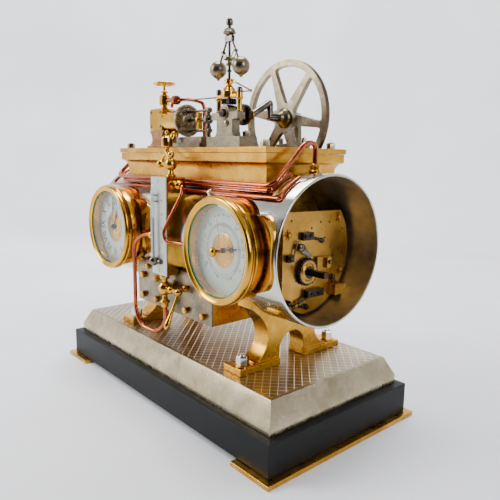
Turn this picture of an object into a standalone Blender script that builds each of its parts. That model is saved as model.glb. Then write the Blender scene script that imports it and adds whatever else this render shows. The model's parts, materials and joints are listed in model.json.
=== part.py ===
"""Industrial clock in the form of a model steam engine, built as a bench assembly.

A horizontal boiler on a stepped base carries a clock and an aneroid barometer on its
front, a thermometer between them, and on its deck a small engine: steam chest, cylinder,
crosshead, crankshaft, flywheel and a two-ball governor.
X runs along the boiler, Y runs front (-Y, the dials) to back, Z is up.
Every helper takes millimetres; make_node turns them into metres.
"""
import bpy
import bmesh
import math
from mathutils import Matrix, Vector

MM = 0.001
GAP = 0.3                      # clearance left between pieces that touch

# Base
SLAB_HALF = (180.0, 91.0)
FOOT_OUT = 6.0                 # how far the gilt bars stand out past the slab
FOOT_WIDTH = 46.0
FOOT_TOP = 4.0
SLAB_TOP = 33.0
PLATE_TOP = 59.0
PLATE_INSET = 7.8
PLATE_EDGE = 8.4               # height of the plate's upright edge
PLATE_BEVEL = 8.5

# Boiler
AXIS_Z = 169.0
BOILER_R = 67.0
BOILER_WALL = 2.2
BOILER_HALF = 156.6
SEAT_R = BOILER_R + GAP        # radius of everything that sits on the boiler
SADDLES = (("boiler_saddle_left", -88.0), ("boiler_saddle_right", 102.5))
SADDLE_HALF = 9.5
PAD = (12.0, 17.0, 65.5)       # half width, inner end and outer end of a saddle's foot
TAP_Y = -70.0                  # the lower tap, in front of the firebox
FIREBOX = (68.0, 60.0, 92.0, 138.0)   # half length, half depth, bottom, top

# Deck
DECK_TOP = 257.0
DECK_HALF = (126.0, 50.7)
DECK_LIP = 4.7
ON_DECK = DECK_TOP + GAP
WHEEL_SLOT = ((12.0, 27.0), (112.0, 39.3))   # the flywheel runs in this slot of the deck

# Dials
DIAL_X = 98.9
DIAL_Z = 170.0
DRUM_R = 44.0
DRUM_FRONT = -76.0
SKIRT_HALF = (55.0, 31.5)      # gilt saddle between a drum and the shell
BEZEL_R = 46.7
BEZEL_FRONT = -84.0
DIAL_R = 41.4
DIAL_FACE = -73.5
GLASS = (BEZEL_FRONT + 2.1, BEZEL_FRONT + 4.1)

# Engine, drawn on its own bench, then set on the deck as one group
ENGINE_SCALE = 0.937
ENGINE_PLACE = (28.2, -21.7)
CHEST_X = -90.0
GUIDE_RODS = (295.0, 274.5)
CRANK_X, CRANK_Z = 36.0, 289.0
CRANK_THROW = 13.4
GOVERNOR_Y = -18.0
WHEEL_Y, WHEEL_R = 58.5, 59.0
REAR_BEARING = (70.5, 76.2)    # front and back of the pedestal behind the wheel
RIM_INNER_R = 52.0
SPOKES = 6
SPOKE_PHASE = 51.0             # degrees from +X of the first spoke at rest
BORE_Y, BORE_Z = -12.0, 286.0  # the cylinder's axis
ARM_PIVOT = (3.5, 357.0)       # out from the spindle, and up
BALL_PLACE = (17.3, 331.0)
BALL_R = 8.3

# Movement
PLATE_X = 122.3
ARBOR_Y, ARBOR_Z = 1.0, 147.0
RATCHET_R, RATCHET_TEETH = 13.0, 24
CLICK_PIVOT = (-8.0, 170.0)
PILLARS = ((44.0, 195.0), (48.0, 143.0), (-22.0, 182.0), (-12.0, 117.0))


# ---------------------------------------------------------------- materials
def material(name, colour, metallic, roughness, transmission=0.0):
    mat = bpy.data.materials.new(name)
    mat.use_nodes = True
    shader = mat.node_tree.nodes["Principled BSDF"]
    shader.inputs["Base Color"].default_value = (*colour, 1.0)
    shader.inputs["Metallic"].default_value = metallic
    shader.inputs["Roughness"].default_value = roughness
    shader.inputs["Transmission Weight"].default_value = transmission
    return mat


FINISHES = {
    "gilt": ((0.83, 0.55, 0.20), 1.0, 0.20),
    "nickel": ((0.72, 0.68, 0.58), 1.0, 0.30),
    "ebonised": ((0.012, 0.014, 0.018), 0.0, 0.35),
    "copper": ((0.72, 0.30, 0.20), 1.0, 0.22),
    "steel": ((0.10, 0.09, 0.09), 1.0, 0.35),
    "brass": ((0.70, 0.48, 0.20), 1.0, 0.35),
    "silvered": ((0.78, 0.80, 0.76), 0.3, 0.45),
    "blued": ((0.03, 0.03, 0.07), 1.0, 0.30),
    "bronze": ((0.45, 0.25, 0.12), 1.0, 0.35),
    "glass": ((0.85, 0.93, 0.90), 0.0, 0.05, 1.0),
}


# ---------------------------------------------------------------- solids
def finished(bm):
    bmesh.ops.recalc_face_normals(bm, faces=bm.faces)
    return bm


def box(low, high):
    bm = bmesh.new()
    bmesh.ops.create_cube(bm, size=1.0)
    for v in bm.verts:
        v.co = Vector([lo + (c + 0.5) * (hi - lo) for lo, hi, c in zip(low, high, v.co)])
    return finished(bm)


def turning(axis, centre):
    """Matrix that lays a shape turned about Z along another axis, at a place."""
    turns = {"x": Matrix.Rotation(math.pi / 2, 4, "Y"),
             "y": Matrix.Rotation(-math.pi / 2, 4, "X"),
             "z": Matrix.Identity(4)}
    return Matrix.Translation(Vector(centre)) @ turns[axis]


def turned(profile, axis, centre, segments=24):
    """A lathe shape: (radius, height) points, closed on the axis or as a ring."""
    bm = bmesh.new()
    rings = []
    for radius, height in profile:
        if radius == 0.0:
            rings.append([bm.verts.new((0, 0, height))])
            continue
        angles = [2 * math.pi * k / segments for k in range(segments)]
        rings.append([bm.verts.new((radius * math.cos(a), radius * math.sin(a), height)) for a in angles])
    pairs = list(zip(rings, rings[1:]))
    if profile[0][0] > 0.0:
        pairs.append((rings[-1], rings[0]))
    for lower, upper in pairs:
        for k in range(segments):
            j = (k + 1) % segments
            corners = [lower[k % len(lower)], lower[j % len(lower)], upper[j % len(upper)], upper[k % len(upper)]]
            bm.faces.new(list(dict.fromkeys(corners)))
    bm.transform(turning(axis, centre))
    return finished(bm)


def disc(radius, axis, low, high, centre, segments=24):
    return turned([(0.0, low), (radius, low), (radius, high), (0.0, high)], axis, centre, segments)


def ring(inner, outer, axis, low, high, centre, segments=24):
    return turned([(inner, low), (outer, low), (outer, high), (inner, high)], axis, centre, segments)


def ball(radius, centre, segments=12, rows=6):
    rows_of = [math.pi * k / rows for k in range(rows + 1)]
    profile = [(radius * math.sin(a), -radius * math.cos(a)) for a in rows_of]
    profile[0] = (0.0, -radius)
    profile[-1] = (0.0, radius)
    return turned(profile, "z", centre, segments)


def rod(start, end, radius, segments=10):
    start, end = Vector(start), Vector(end)
    along = end - start
    bm = turned([(0.0, 0.0), (radius, 0.0), (radius, along.length), (0.0, along.length)], "z", (0, 0, 0), segments)
    turn = Vector((0, 0, 1)).rotation_difference(along.normalized()).to_matrix().to_4x4()
    bm.transform(Matrix.Translation(start) @ turn)
    return finished(bm)


def prism(outline, axis, low, high):
    """A flat outline pushed along an axis. The outline's pairs are the two other axes."""
    order = {"x": (1, 2, 0), "y": (0, 2, 1), "z": (0, 1, 2)}[axis]
    bm = bmesh.new()
    ends = []
    for level in (low, high):
        loop = []
        for first, second in outline:
            place = [0.0, 0.0, 0.0]
            place[order[0]], place[order[1]], place[order[2]] = first, second, level
            loop.append(bm.verts.new(place))
        ends.append(loop)
        bm.faces.new(loop)
    count = len(outline)
    for k in range(count):
        j = (k + 1) % count
        bm.faces.new((ends[0][k], ends[0][j], ends[1][j], ends[1][k]))
    return finished(bm)


def stack(levels):
    """A block of stacked rectangles: (height, half length, half depth)."""
    bm = bmesh.new()
    loops = []
    for z, hx, hy in levels:
        loops.append([bm.verts.new((sx * hx, sy * hy, z)) for sx, sy in ((-1, -1), (1, -1), (1, 1), (-1, 1))])
    bm.faces.new(loops[0])
    bm.faces.new(loops[-1])
    for lower, upper in zip(loops, loops[1:]):
        for k in range(4):
            j = (k + 1) % 4
            bm.faces.new((lower[k], lower[j], upper[j], upper[k]))
    return finished(bm)


def arc(centre, radius, start, end, steps):
    """Points on a circle, angles in degrees."""
    angles = [math.radians(start + (end - start) * k / steps) for k in range(steps + 1)]
    return [(centre[0] + radius * math.cos(a), centre[1] + radius * math.sin(a)) for a in angles]


def rounded_rectangle(centre, half_width, half_height, radius, steps=4):
    points = []
    for start, sx, sy in ((0, 1, 1), (90, -1, 1), (180, -1, -1), (270, 1, -1)):
        corner = (centre[0] + sx * (half_width - radius), centre[1] + sy * (half_height - radius))
        points += arc(corner, radius, start, start + 90, steps)
    return points


def rounded_route(points, bend, steps=3):
    """Straight runs joined by bends: each corner becomes a short curve."""
    route = [Vector(points[0])]
    for before, corner, after in zip(points, points[1:], points[2:]):
        before, corner, after = Vector(before), Vector(corner), Vector(after)
        into, out = before - corner, after - corner
        reach = min(bend, into.length * 0.48, out.length * 0.48)
        start = corner + into.normalized() * reach
        end = corner + out.normalized() * reach
        for k in range(steps + 1):
            t = k / steps
            route.append(start * (1 - t) ** 2 + corner * 2 * t * (1 - t) + end * t ** 2)
    route.append(Vector(points[-1]))
    return route


def pipe(points, radius, bend, segments=8):
    route = rounded_route(points, bend)
    bm = bmesh.new()
    loops = []
    side = None
    for k, place in enumerate(route):
        ahead = route[min(k + 1, len(route) - 1)] - route[max(k - 1, 0)]
        ahead.normalize()
        side = ahead.orthogonal() if side is None else side - ahead * side.dot(ahead)
        side.normalize()
        other = ahead.cross(side)
        loop = []
        for s in range(segments):
            a = 2 * math.pi * s / segments
            loop.append(bm.verts.new(place + side * radius * math.cos(a) + other * radius * math.sin(a)))
        loops.append(loop)
    bm.faces.new(loops[0])
    bm.faces.new(loops[-1])
    for first, second in zip(loops, loops[1:]):
        for s in range(segments):
            t = (s + 1) % segments
            bm.faces.new((first[s], first[t], second[t], second[s]))
    return finished(bm)


# ---------------------------------------------------------------- nodes
def place_mesh(name, bm, origin):
    mesh = bpy.data.meshes.new(name)
    bm.transform(Matrix.Scale(MM, 4) @ Matrix.Translation(-Vector(origin)))
    bm.to_mesh(mesh)
    bm.free()
    obj = bpy.data.objects.new(name, mesh)
    obj.location = Vector(origin) * MM
    bpy.context.scene.collection.objects.link(obj)
    return obj


def make_node(name, finish, pieces, cuts=(), origin=(0.0, 0.0, 0.0)):
    """One named piece: solids joined into the first one, then cut."""
    obj = place_mesh(name, pieces[0], origin)
    obj.data.materials.append(bpy.data.materials[finish])
    obj.data.shade_smooth()
    obj.data.set_sharp_from_angle(angle=math.radians(35))
    jobs = [("UNION", bm) for bm in pieces[1:]] + [("DIFFERENCE", bm) for bm in cuts]
    for number, (operation, bm) in enumerate(jobs):
        tool = place_mesh(name + "_tool_" + str(number), bm, origin)
        tool.hide_render = True
        tool.display_type = "WIRE"
        modifier = obj.modifiers.new(operation.lower(), "BOOLEAN")
        modifier.operation = operation
        modifier.solver = "EXACT"
        modifier.object = tool
    return obj


def engine_node(name, finish, pieces, cuts=(), origin=(0.0, 0.0, 0.0)):
    """A node of the engine: scaled about the deck's top and moved to its place there."""
    bench = Matrix.Translation((ENGINE_PLACE[0], ENGINE_PLACE[1], DECK_TOP))
    bench = bench @ Matrix.Scale(ENGINE_SCALE, 4) @ Matrix.Translation((0.0, 0.0, -DECK_TOP))
    for bm in list(pieces) + list(cuts):
        bm.transform(bench)
    return make_node(name, finish, pieces, cuts, tuple(bench @ Vector(origin)))


def boiler_seat():
    """The boiler's outer cylinder, used to hollow what sits on it."""
    return disc(SEAT_R, "x", -200.0, 200.0, (0, 0, AXIS_Z), 48)


# ---------------------------------------------------------------- base
def build_base():
    out_x, out_y = SLAB_HALF[0] + FOOT_OUT, SLAB_HALF[1] + FOOT_OUT
    for name, low, high in (("foot_bar_left", -out_x, -out_x + FOOT_WIDTH),
                            ("foot_bar_right", out_x - FOOT_WIDTH, out_x)):
        make_node(name, "gilt", [box((low, -out_y, 0.0), (high, out_y, FOOT_TOP))])
    slab_low = FOOT_TOP + GAP
    make_node("plinth_slab", "ebonised",
              [box((-SLAB_HALF[0], -SLAB_HALF[1], slab_low), (SLAB_HALF[0], SLAB_HALF[1], SLAB_TOP))])
    hx, hy = SLAB_HALF[0] - PLATE_INSET, SLAB_HALF[1] - PLATE_INSET
    bottom = SLAB_TOP + GAP
    levels = [(bottom, hx, hy), (bottom + PLATE_EDGE, hx, hy), (PLATE_TOP, hx - PLATE_BEVEL, hy - PLATE_BEVEL)]
    make_node("bevelled_base_plate", "nickel", [stack(levels)])


def saddle_outline():
    """Cradle, hollow sides and arch of one saddle, seen along the boiler."""
    top_y = 50.0
    tip_angle = math.degrees(math.asin(top_y / SEAT_R))
    cradle = arc((0.0, AXIS_Z), SEAT_R, -90.0 + tip_angle, -90.0 - tip_angle, 20)
    right_side = [(46.0, 66.5), (38.0, 71.0), (32.6, 79.0), (31.0, 88.0), (33.6, 98.0), (41.0, 108.5), (52.0, 117.5)]
    left_side = [(-y, z) for y, z in reversed(right_side)]
    arch = arc((0.0, 72.0), 16.0, 180.0, 0.0, 12)
    return cradle + left_side + [(-46.0, 62.0), (-16.0, 62.0)] + arch + [(16.0, 62.0), (46.0, 62.0)] + right_side


def build_saddles():
    foot_low = PLATE_TOP + GAP
    foot_high = foot_low + 6.0
    half, inner, outer = PAD
    for name, x in SADDLES:
        web = prism(saddle_outline(), "x", x - SADDLE_HALF, x + SADDLE_HALF)
        front = box((x - half, -outer, foot_low), (x + half, -inner, foot_high))
        back = box((x - half, inner, foot_low), (x + half, outer, foot_high))
        make_node(name, "gilt", [web, front, back])


# ---------------------------------------------------------------- boiler
def build_boiler():
    inner = BOILER_R - BOILER_WALL
    make_node("boiler_shell", "nickel",
              [ring(inner, BOILER_R, "x", -BOILER_HALF, BOILER_HALF, (0, 0, AXIS_Z), 48)])
    seat = -BOILER_HALF - GAP
    spigot = inner - GAP
    dome = [(0.0, seat - 7.0), (36.0, seat - 5.4), (60.0, seat - 2.4), (BOILER_R, seat - 2.2),
            (BOILER_R, seat), (spigot, seat), (spigot, seat + 7.0), (0.0, seat + 7.0)]
    make_node("boiler_end_cap", "nickel", [turned(dome, "x", (0, 0, AXIS_Z), 48)])


def build_firebox():
    hx, hy, low, high = FIREBOX
    make_node("firebox_casing", "gilt", [box((-hx, -hy, low), (hx, hy, high))], [boiler_seat()])
    front = -hy - GAP
    corner = 10.0
    outline = [(-hx, low), (hx, low)] + arc((hx - corner, high - corner), corner, 0, 90, 5)
    outline += arc((corner - hx, high - corner), corner, 90, 180, 5)
    pieces = [prism(outline, "y", front - 1.6, front)]
    for x in (-54.0, -27.0, 27.0, 54.0):
        for z in (99.5, 121.0):
            pieces.append(disc(3.4, "y", front - 5.6, front - 0.8, (x, 0, z), 6))
    make_node("firebox_front_plate", "nickel", pieces)


# ---------------------------------------------------------------- deck
def build_deck():
    hx, hy = DECK_HALF
    lip_low = DECK_TOP - DECK_LIP
    band, body = 1.5, 8.0
    cove_low, cove_high = 234.0, 244.0
    levels = [(226.0, hx - body, hy - body)]
    steps = 5
    for k in range(steps + 1):
        a = math.pi / 2 * k / steps
        inset = body - (body - band) * (1 - math.cos(a))
        levels.append((cove_low + (cove_high - cove_low) * math.sin(a), hx - inset, hy - inset))
    levels.append((lip_low - GAP, hx - band, hy - band))
    slots = [box((*WHEEL_SLOT[0], 200.0), (*WHEEL_SLOT[1], 270.0)) for _ in range(2)]
    make_node("deck_cradle", "gilt", [stack(levels)], [boiler_seat(), slots[0]])
    make_node("deck_top_plate", "gilt", [box((-hx, -hy, lip_low), (hx, hy, DECK_TOP))], [slots[1]])


# ---------------------------------------------------------------- dials
def hand(tip, tail, width, boss_r, low, high, x):
    """A pointer seen from the front, lying along +Z until it is turned."""
    outline = [(width * 0.5, 0.0), (width * 0.32, tip * 0.8), (0.0, tip), (-width * 0.32, tip * 0.8),
               (-width * 0.5, 0.0), (-width * 0.4, -tail), (width * 0.4, -tail)]
    blade = prism([(x + a, DIAL_Z + b) for a, b in outline], "y", low, high)
    return [blade, disc(boss_r, "y", low - 0.2, high + 0.2, (x, 0, DIAL_Z), 16)]


def turn_pieces(pieces, x, degrees):
    turn = Matrix.Rotation(math.radians(degrees), 4, "Y")
    there = Matrix.Translation(Vector((x, 0, DIAL_Z)))
    for bm in pieces:
        bm.transform(there @ turn @ there.inverted())
    return pieces


def hinge_fixings(hinge):
    """The drum's two half knuckles, above and below the door's own."""
    pieces = []
    for side in (-1, 1):
        near, far = hinge[2] + side * 9.4, hinge[2] + side * 14.0
        low, high = min(near, far), max(near, far)
        pieces.append(rod((hinge[0], hinge[1], low), (hinge[0], hinge[1], high), 1.8))
        pieces.append(box((hinge[0] - 1.3, hinge[1], low), (hinge[0] + 0.5, DRUM_FRONT + 3.0, high)))
        pieces.append(box((hinge[0] - 1.3, DRUM_FRONT, low), (hinge[0] + 10.0, DRUM_FRONT + 3.0, high)))
    return pieces


def build_drum(name, x, extras=()):
    body = disc(DRUM_R, "y", DRUM_FRONT, -40.0, (x, 0, DIAL_Z), 40)
    recess = disc(DRUM_R - 2.0, "y", DRUM_FRONT - 1.0, -72.0, (x, 0, DIAL_Z), 40)
    outline = rounded_rectangle((x, DIAL_Z + 1.5), SKIRT_HALF[0], SKIRT_HALF[1], 18.0, 5)
    skirt = prism(outline, "y", -BOILER_R - 2.6, -40.0)
    make_node(name, "gilt", [body, skirt] + list(extras), [recess, boiler_seat()])


def bezel_pieces(x):
    back = DRUM_FRONT - GAP
    profile = [(DIAL_R + 0.4, back), (BEZEL_R, back), (BEZEL_R, back - 2.4), (BEZEL_R - 0.6, BEZEL_FRONT + 1.4),
               (BEZEL_R - 2.0, BEZEL_FRONT), (DIAL_R - 1.6, BEZEL_FRONT + 1.0), (DIAL_R - 1.6, BEZEL_FRONT + 1.8),
               (DIAL_R + 0.4, BEZEL_FRONT + 1.8)]
    return turned(profile, "y", (x, 0, DIAL_Z), 40)


def build_clock():
    x = -DIAL_X
    centre = (x, 0.0, DIAL_Z)
    hinge = (x - BEZEL_R - 1.8, DRUM_FRONT - 3.0, DIAL_Z)
    build_drum("clock_drum", x, hinge_fixings(hinge))
    knuckle = rod((hinge[0], hinge[1], DIAL_Z - 9.0), (hinge[0], hinge[1], DIAL_Z + 9.0), 1.8)
    leaf = box((hinge[0], hinge[1] - 1.0, DIAL_Z - 8.5), (hinge[0] + 6.0, hinge[1] + 1.0, DIAL_Z + 8.5))
    latch = box((x + BEZEL_R - 1.5, hinge[1] - 1.5, DIAL_Z - 2.5), (x + BEZEL_R + 2.2, hinge[1] + 1.0, DIAL_Z + 2.5))
    make_node("clock_bezel", "gilt", [bezel_pieces(x), knuckle, leaf, latch], origin=hinge)
    make_node("clock_glass", "glass", [disc(DIAL_R, "y", GLASS[0], GLASS[1], centre, 40)], origin=hinge)
    make_node("clock_dial", "silvered", [disc(DIAL_R, "y", DIAL_FACE, -72.3, centre, 40)])
    hour = turn_pieces(hand(22.0, 5.0, 4.0, 3.0, -74.7, -74.2, x), x, 25.0)
    minute = turn_pieces(hand(33.0, 8.0, 3.2, 2.4, -76.0, -75.5, x), x, 3.0)
    make_node("hour_hand", "blued", hour, origin=(x, -74.5, DIAL_Z))
    make_node("minute_hand", "blued", minute, origin=(x, -75.8, DIAL_Z))


def build_barometer():
    x = DIAL_X
    centre = (x, 0.0, DIAL_Z)
    build_drum("barometer_drum", x)
    make_node("barometer_bezel", "gilt", [bezel_pieces(x)])
    make_node("barometer_glass", "glass", [ring(2.2, DIAL_R, "y", GLASS[0], GLASS[1], centre, 40)])
    make_node("barometer_dial", "silvered", [disc(DIAL_R, "y", DIAL_FACE, -72.3, centre, 40)])
    pointer = turn_pieces(hand(30.0, 12.0, 2.4, 2.4, -75.0, -74.5, x), x, 80.0)
    make_node("barometer_hand", "blued", pointer, origin=(x, -75.0, DIAL_Z))
    setting = turn_pieces(hand(29.0, 6.0, 2.0, 2.0, -77.4, -76.9, x), x, -8.0)
    setting.append(disc(1.7, "y", -86.0, -77.0, centre, 16))
    setting.append(turned([(0.0, -87.2), (2.4, -87.0), (4.2, -85.8), (4.2, -83.6), (2.6, -82.9), (0.0, -82.8)],
                          "y", centre, 16))
    make_node("set_hand", "gilt", setting, origin=(x, -80.0, DIAL_Z))


# ---------------------------------------------------------------- thermometer
def build_thermometer():
    block = box((-13.5, -74.7, 133.0), (13.5, -54.0, 228.5))
    casing = box((-80.0, -FIREBOX[1] - 2.5, 80.0), (80.0, 0.0, FIREBOX[3] + GAP))
    make_node("thermometer_block", "gilt", [block], [boiler_seat(), casing])
    make_node("thermometer_scale", "silvered", [box((-13.5, -76.2, 132.0), (13.5, -75.0, 228.5))])
    tube = [(0.0, 142.0), (2.2, 142.6), (3.4, 145.0), (3.4, 149.0), (2.4, 153.0), (2.4, 215.5), (0.0, 217.0)]
    make_node("thermometer_tube", "glass", [turned(tube, "z", (-4.0, -80.0, 0.0), 16)])


# ---------------------------------------------------------------- movement
def plate_outline():
    """The movement's plate: straight along its top and its left side, round elsewhere."""
    right_side = arc((2.0, 165.0), 58.0, 38.0, -94.0, 24)
    return [(-28.0, 202.0)] + right_side + [(-28.0, 119.0)]


def ratchet_outline():
    points = []
    for k in range(RATCHET_TEETH):
        a = 2 * math.pi * k / RATCHET_TEETH
        b = a + 2 * math.pi / RATCHET_TEETH * 0.85
        for angle, radius in ((a, RATCHET_R), (b, RATCHET_R - 1.8)):
            points.append((ARBOR_Y + radius * math.cos(angle), ARBOR_Z + radius * math.sin(angle)))
    return points


def build_movement():
    centre = (0.0, ARBOR_Y, ARBOR_Z)
    back = 85.0
    back_pieces = [disc(BOILER_R - BOILER_WALL - GAP, "x", back, back + 2.6, (0.0, 0.0, AXIS_Z), 40)]
    for y, z in PILLARS:
        back_pieces.append(rod((back + 1.0, y, z), (PLATE_X - GAP, y, z), 3.2))
    back_hole = disc(3.4, "x", back - 5.0, back + 5.0, centre, 20)
    front_hole = disc(3.4, "x", PLATE_X - 5.0, PLATE_X + 5.0, centre, 20)
    make_node("movement_back_plate", "brass", back_pieces, [back_hole])
    make_node("movement_front_plate", "brass", [prism(plate_outline(), "x", PLATE_X, PLATE_X + 2.6)], [front_hole])
    drum = [(3.5, 91.0), (29.0, 91.0), (29.0, 94.0), (25.5, 94.4), (25.5, 118.0), (3.5, 118.0)]
    make_node("mainspring_barrel", "brass", [turned(drum, "x", centre, 32)], origin=(104.0, ARBOR_Y, ARBOR_Z))
    shaft = rod((82.0, ARBOR_Y, ARBOR_Z), (130.0, ARBOR_Y, ARBOR_Z), 3.0)
    wheel_low = PLATE_X + 2.6 + 1.0
    wheel = prism(ratchet_outline(), "x", wheel_low, wheel_low + 3.4)
    square = 2.6
    key = box((wheel_low + 2.0, ARBOR_Y - square, ARBOR_Z - square), (150.0, ARBOR_Y + square, ARBOR_Z + square))
    make_node("winding_arbor", "steel", [shaft, wheel, key], origin=(wheel_low, ARBOR_Y, ARBOR_Z))
    pivot = (wheel_low + 1.6, CLICK_PIVOT[0], CLICK_PIVOT[1])
    contact = math.radians(75.0)
    reach = RATCHET_R + GAP
    nose = (ARBOR_Y + reach * math.cos(contact), ARBOR_Z + reach * math.sin(contact))
    lever = [(pivot[1] - 3.0, pivot[2] - 2.4), (nose[0] - 1.6, nose[1] + 0.6), nose, (nose[0] + 0.8, nose[1] + 2.4),
             (pivot[1] + 6.0, pivot[2] + 1.4), (pivot[1] + 1.0, pivot[2] + 3.2)]
    make_node("click", "steel", [prism(lever, "x", wheel_low, wheel_low + 3.0),
                                 disc(3.4, "x", wheel_low - 0.6, wheel_low + 3.6, (0, pivot[1], pivot[2]), 16)],
              origin=pivot)


# ---------------------------------------------------------------- pipes and taps
def nut(x, y, z, height, radius=4.2):
    return disc(radius, "z", z, z + height, (x, y, 0.0), 6)


def build_pipes():
    run_y, run_z, end_x = -50.0, 225.6, 134.0
    top_z = AXIS_Z + SEAT_R + 0.4
    supply = [(-end_x, -6.0, top_z + 1.0), (-end_x, -6.0, 249.0), (-end_x, -24.0, 249.0), (-end_x, run_y, run_z),
              (end_x, run_y, run_z), (end_x, -14.0, 261.0), (end_x, -0.5, 261.0), (end_x, -0.5, top_z + 1.0)]
    make_node("supply_pipe", "copper", [pipe(supply, 2.2, 9.0), nut(-end_x, -6.0, top_z, 5.0),
                                        nut(end_x, -0.5, top_z, 5.0)])
    wrap_r = SEAT_R + 2.5
    wrap = [(-wrap_r * math.cos(math.radians(a)), AXIS_Z + wrap_r * math.sin(math.radians(a)))
            for a in (48.6, 56.0, 64.0, 71.0)]
    end = 126.0
    drain = [(-end, y, z) for y, z in reversed(wrap)] + [(end, y, z) for y, z in wrap]
    make_node("drain_pipe", "copper", [pipe(drain, 2.0, 6.0)])
    gauge = [(14.0, -64.0, 221.0), (24.0, -64.0, 221.0), (27.0, -67.0, 213.0), (15.0, -80.5, 177.0),
             (19.0, -80.5, 168.0), (34.0, -75.0, 168.0), (DIAL_X - DRUM_R - 0.6, -73.4, 168.0)]
    make_node("gauge_pipe", "copper", [pipe(gauge, 1.6, 7.0), ball(3.6, (17.6, -64.0, 221.0))])
    loop = [(-14.0, -72.0, 169.5), (-32.0, -74.5, 169.5), (-46.5, -78.0, 160.0), (-46.5, -78.0, 86.0),
            (-36.0, -77.5, 71.0), (-10.0, -74.0, 69.5), (0.0, TAP_Y, 80.0), (0.0, TAP_Y, 97.6)]
    make_node("siphon_pipe", "copper", [pipe(loop, 2.0, 12.0), ball(4.2, (-18.4, -72.4, 169.5))])
    inner_r = SEAT_R + 2.2
    hug = [(-inner_r * math.cos(math.radians(a)), AXIS_Z + inner_r * math.sin(math.radians(a)))
           for a in (42.5, 50.0, 58.0, 66.0)]
    far = 143.0
    route = [(-far, y, z) for y, z in reversed(hug)] + [(far, y, z) for y, z in hug]
    make_node("return_pipe", "copper", [pipe(route, 1.6, 6.0)])


def lever_profile(length):
    """A teardrop handle: thin neck at the spindle, fat rounded end."""
    return [(0.0, 2.0), (1.3, 2.2), (1.5, length * 0.45), (2.5, length * 0.75), (2.9, length * 0.86),
            (2.2, length * 0.95), (0.0, length)]


def tap_lever(name, hub, tip):
    hub, tip = Vector(hub), Vector(tip)
    along = tip - hub
    handle = turned(lever_profile(along.length), "z", (0, 0, 0), 10)
    turn = Vector((0, 0, 1)).rotation_difference(along.normalized()).to_matrix().to_4x4()
    handle.transform(Matrix.Translation(hub) @ turn)
    boss = disc(3.4, "x", -2.2, 2.2, tuple(hub), 16)
    make_node(name, "gilt", [boss, handle], origin=tuple(hub))


def build_taps():
    body = turned([(0.0, 98.0), (3.4, 98.0), (3.4, 102.0), (4.4, 103.0), (4.4, 105.0), (2.6, 107.0), (2.6, 110.0),
                   (5.2, 113.0), (6.6, 117.5), (5.2, 122.0), (2.8, 125.0), (2.8, 127.0), (4.6, 128.0), (4.6, 132.4),
                   (0.0, 132.4)], "z", (0.0, TAP_Y, 0.0), 12)
    spindle = rod((0.0, TAP_Y, 118.0), (22.0, TAP_Y, 118.0), 1.7)
    lug = box((-4.0, TAP_Y + 3.0, 114.0), (4.0, -FIREBOX[1] - 2.2, 122.0))
    make_node("lower_tap_body", "gilt", [body, spindle, ball(4.0, (11.5, TAP_Y, 118.0)), lug])
    tap_lever("lower_tap_lever", (24.6, TAP_Y, 118.0), (24.6, TAP_Y - 15.0, 83.0))
    y = -64.0
    foot_x, bell_x, hub_x = 4.0, -2.5, -14.8
    foot = turned([(0.0, 228.8), (4.4, 228.8), (4.4, 231.0), (2.6, 232.5), (2.6, 235.0), (4.8, 237.2), (5.6, 240.8),
                   (4.8, 244.4), (2.0, 247.0), (0.0, 247.4)], "z", (foot_x, y, 0.0), 12)
    bell = turned([(0.0, 249.0), (2.2, 249.6), (1.8, 255.6), (2.6, 257.0), (5.6, 258.0), (5.6, 265.6), (2.6, 267.8),
                   (1.3, 268.6), (2.1, 270.6), (1.4, 272.4), (0.0, 273.2)], "z", (bell_x, y, 0.0), 12)
    joint = rod((foot_x, y, 243.5), (bell_x, y, 252.0), 1.9)
    spindle = rod((foot_x, y, 240.8), (hub_x + 2.6, y, 240.8), 1.6)
    make_node("upper_tap_body", "gilt", [foot, bell, joint, spindle])
    tap_lever("upper_tap_lever", (hub_x, y, 240.8), (hub_x, y + 17.5, 273.0))


# ---------------------------------------------------------------- engine
def build_cylinder():
    right_side = arc((-66.0, 266.85), 14.0, 222.0, 138.0, 6)
    left_side = [(2 * CHEST_X - x, z) for x, z in reversed(right_side)]
    outline = [(CHEST_X - 20.0, ON_DECK), (CHEST_X + 20.0, ON_DECK)] + right_side
    outline += [(CHEST_X + 18.0, 276.4), (CHEST_X - 18.0, 276.4)] + left_side
    engine_node("chest_pedestal", "bronze", [prism(outline, "y", BORE_Y - 11.0, BORE_Y + 11.0)],
              [disc(12.9, "x", -80.4, -40.0, (0, BORE_Y, BORE_Z), 32)])
    chest = prism(rounded_rectangle((CHEST_X, 288.6), 13.5, 11.9, 3.0), "y", BORE_Y - 12.0, BORE_Y + 12.0)
    barrel = disc(12.5, "x", -80.0, -46.0, (0, BORE_Y, BORE_Z), 32)
    bore = disc(7.0, "x", -74.0, -40.0, (0, BORE_Y, BORE_Z), 24)
    engine_node("steam_cylinder", "gilt", [chest, barrel], [bore])
    cover = [(2.0, -45.7), (17.0, -45.7), (17.0, -42.5), (14.5, -41.5), (12.0, -41.5), (5.0, -40.0), (2.0, -40.0)]
    engine_node("cylinder_cover", "nickel", [turned(cover, "x", (0, BORE_Y, BORE_Z), 28)])


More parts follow.
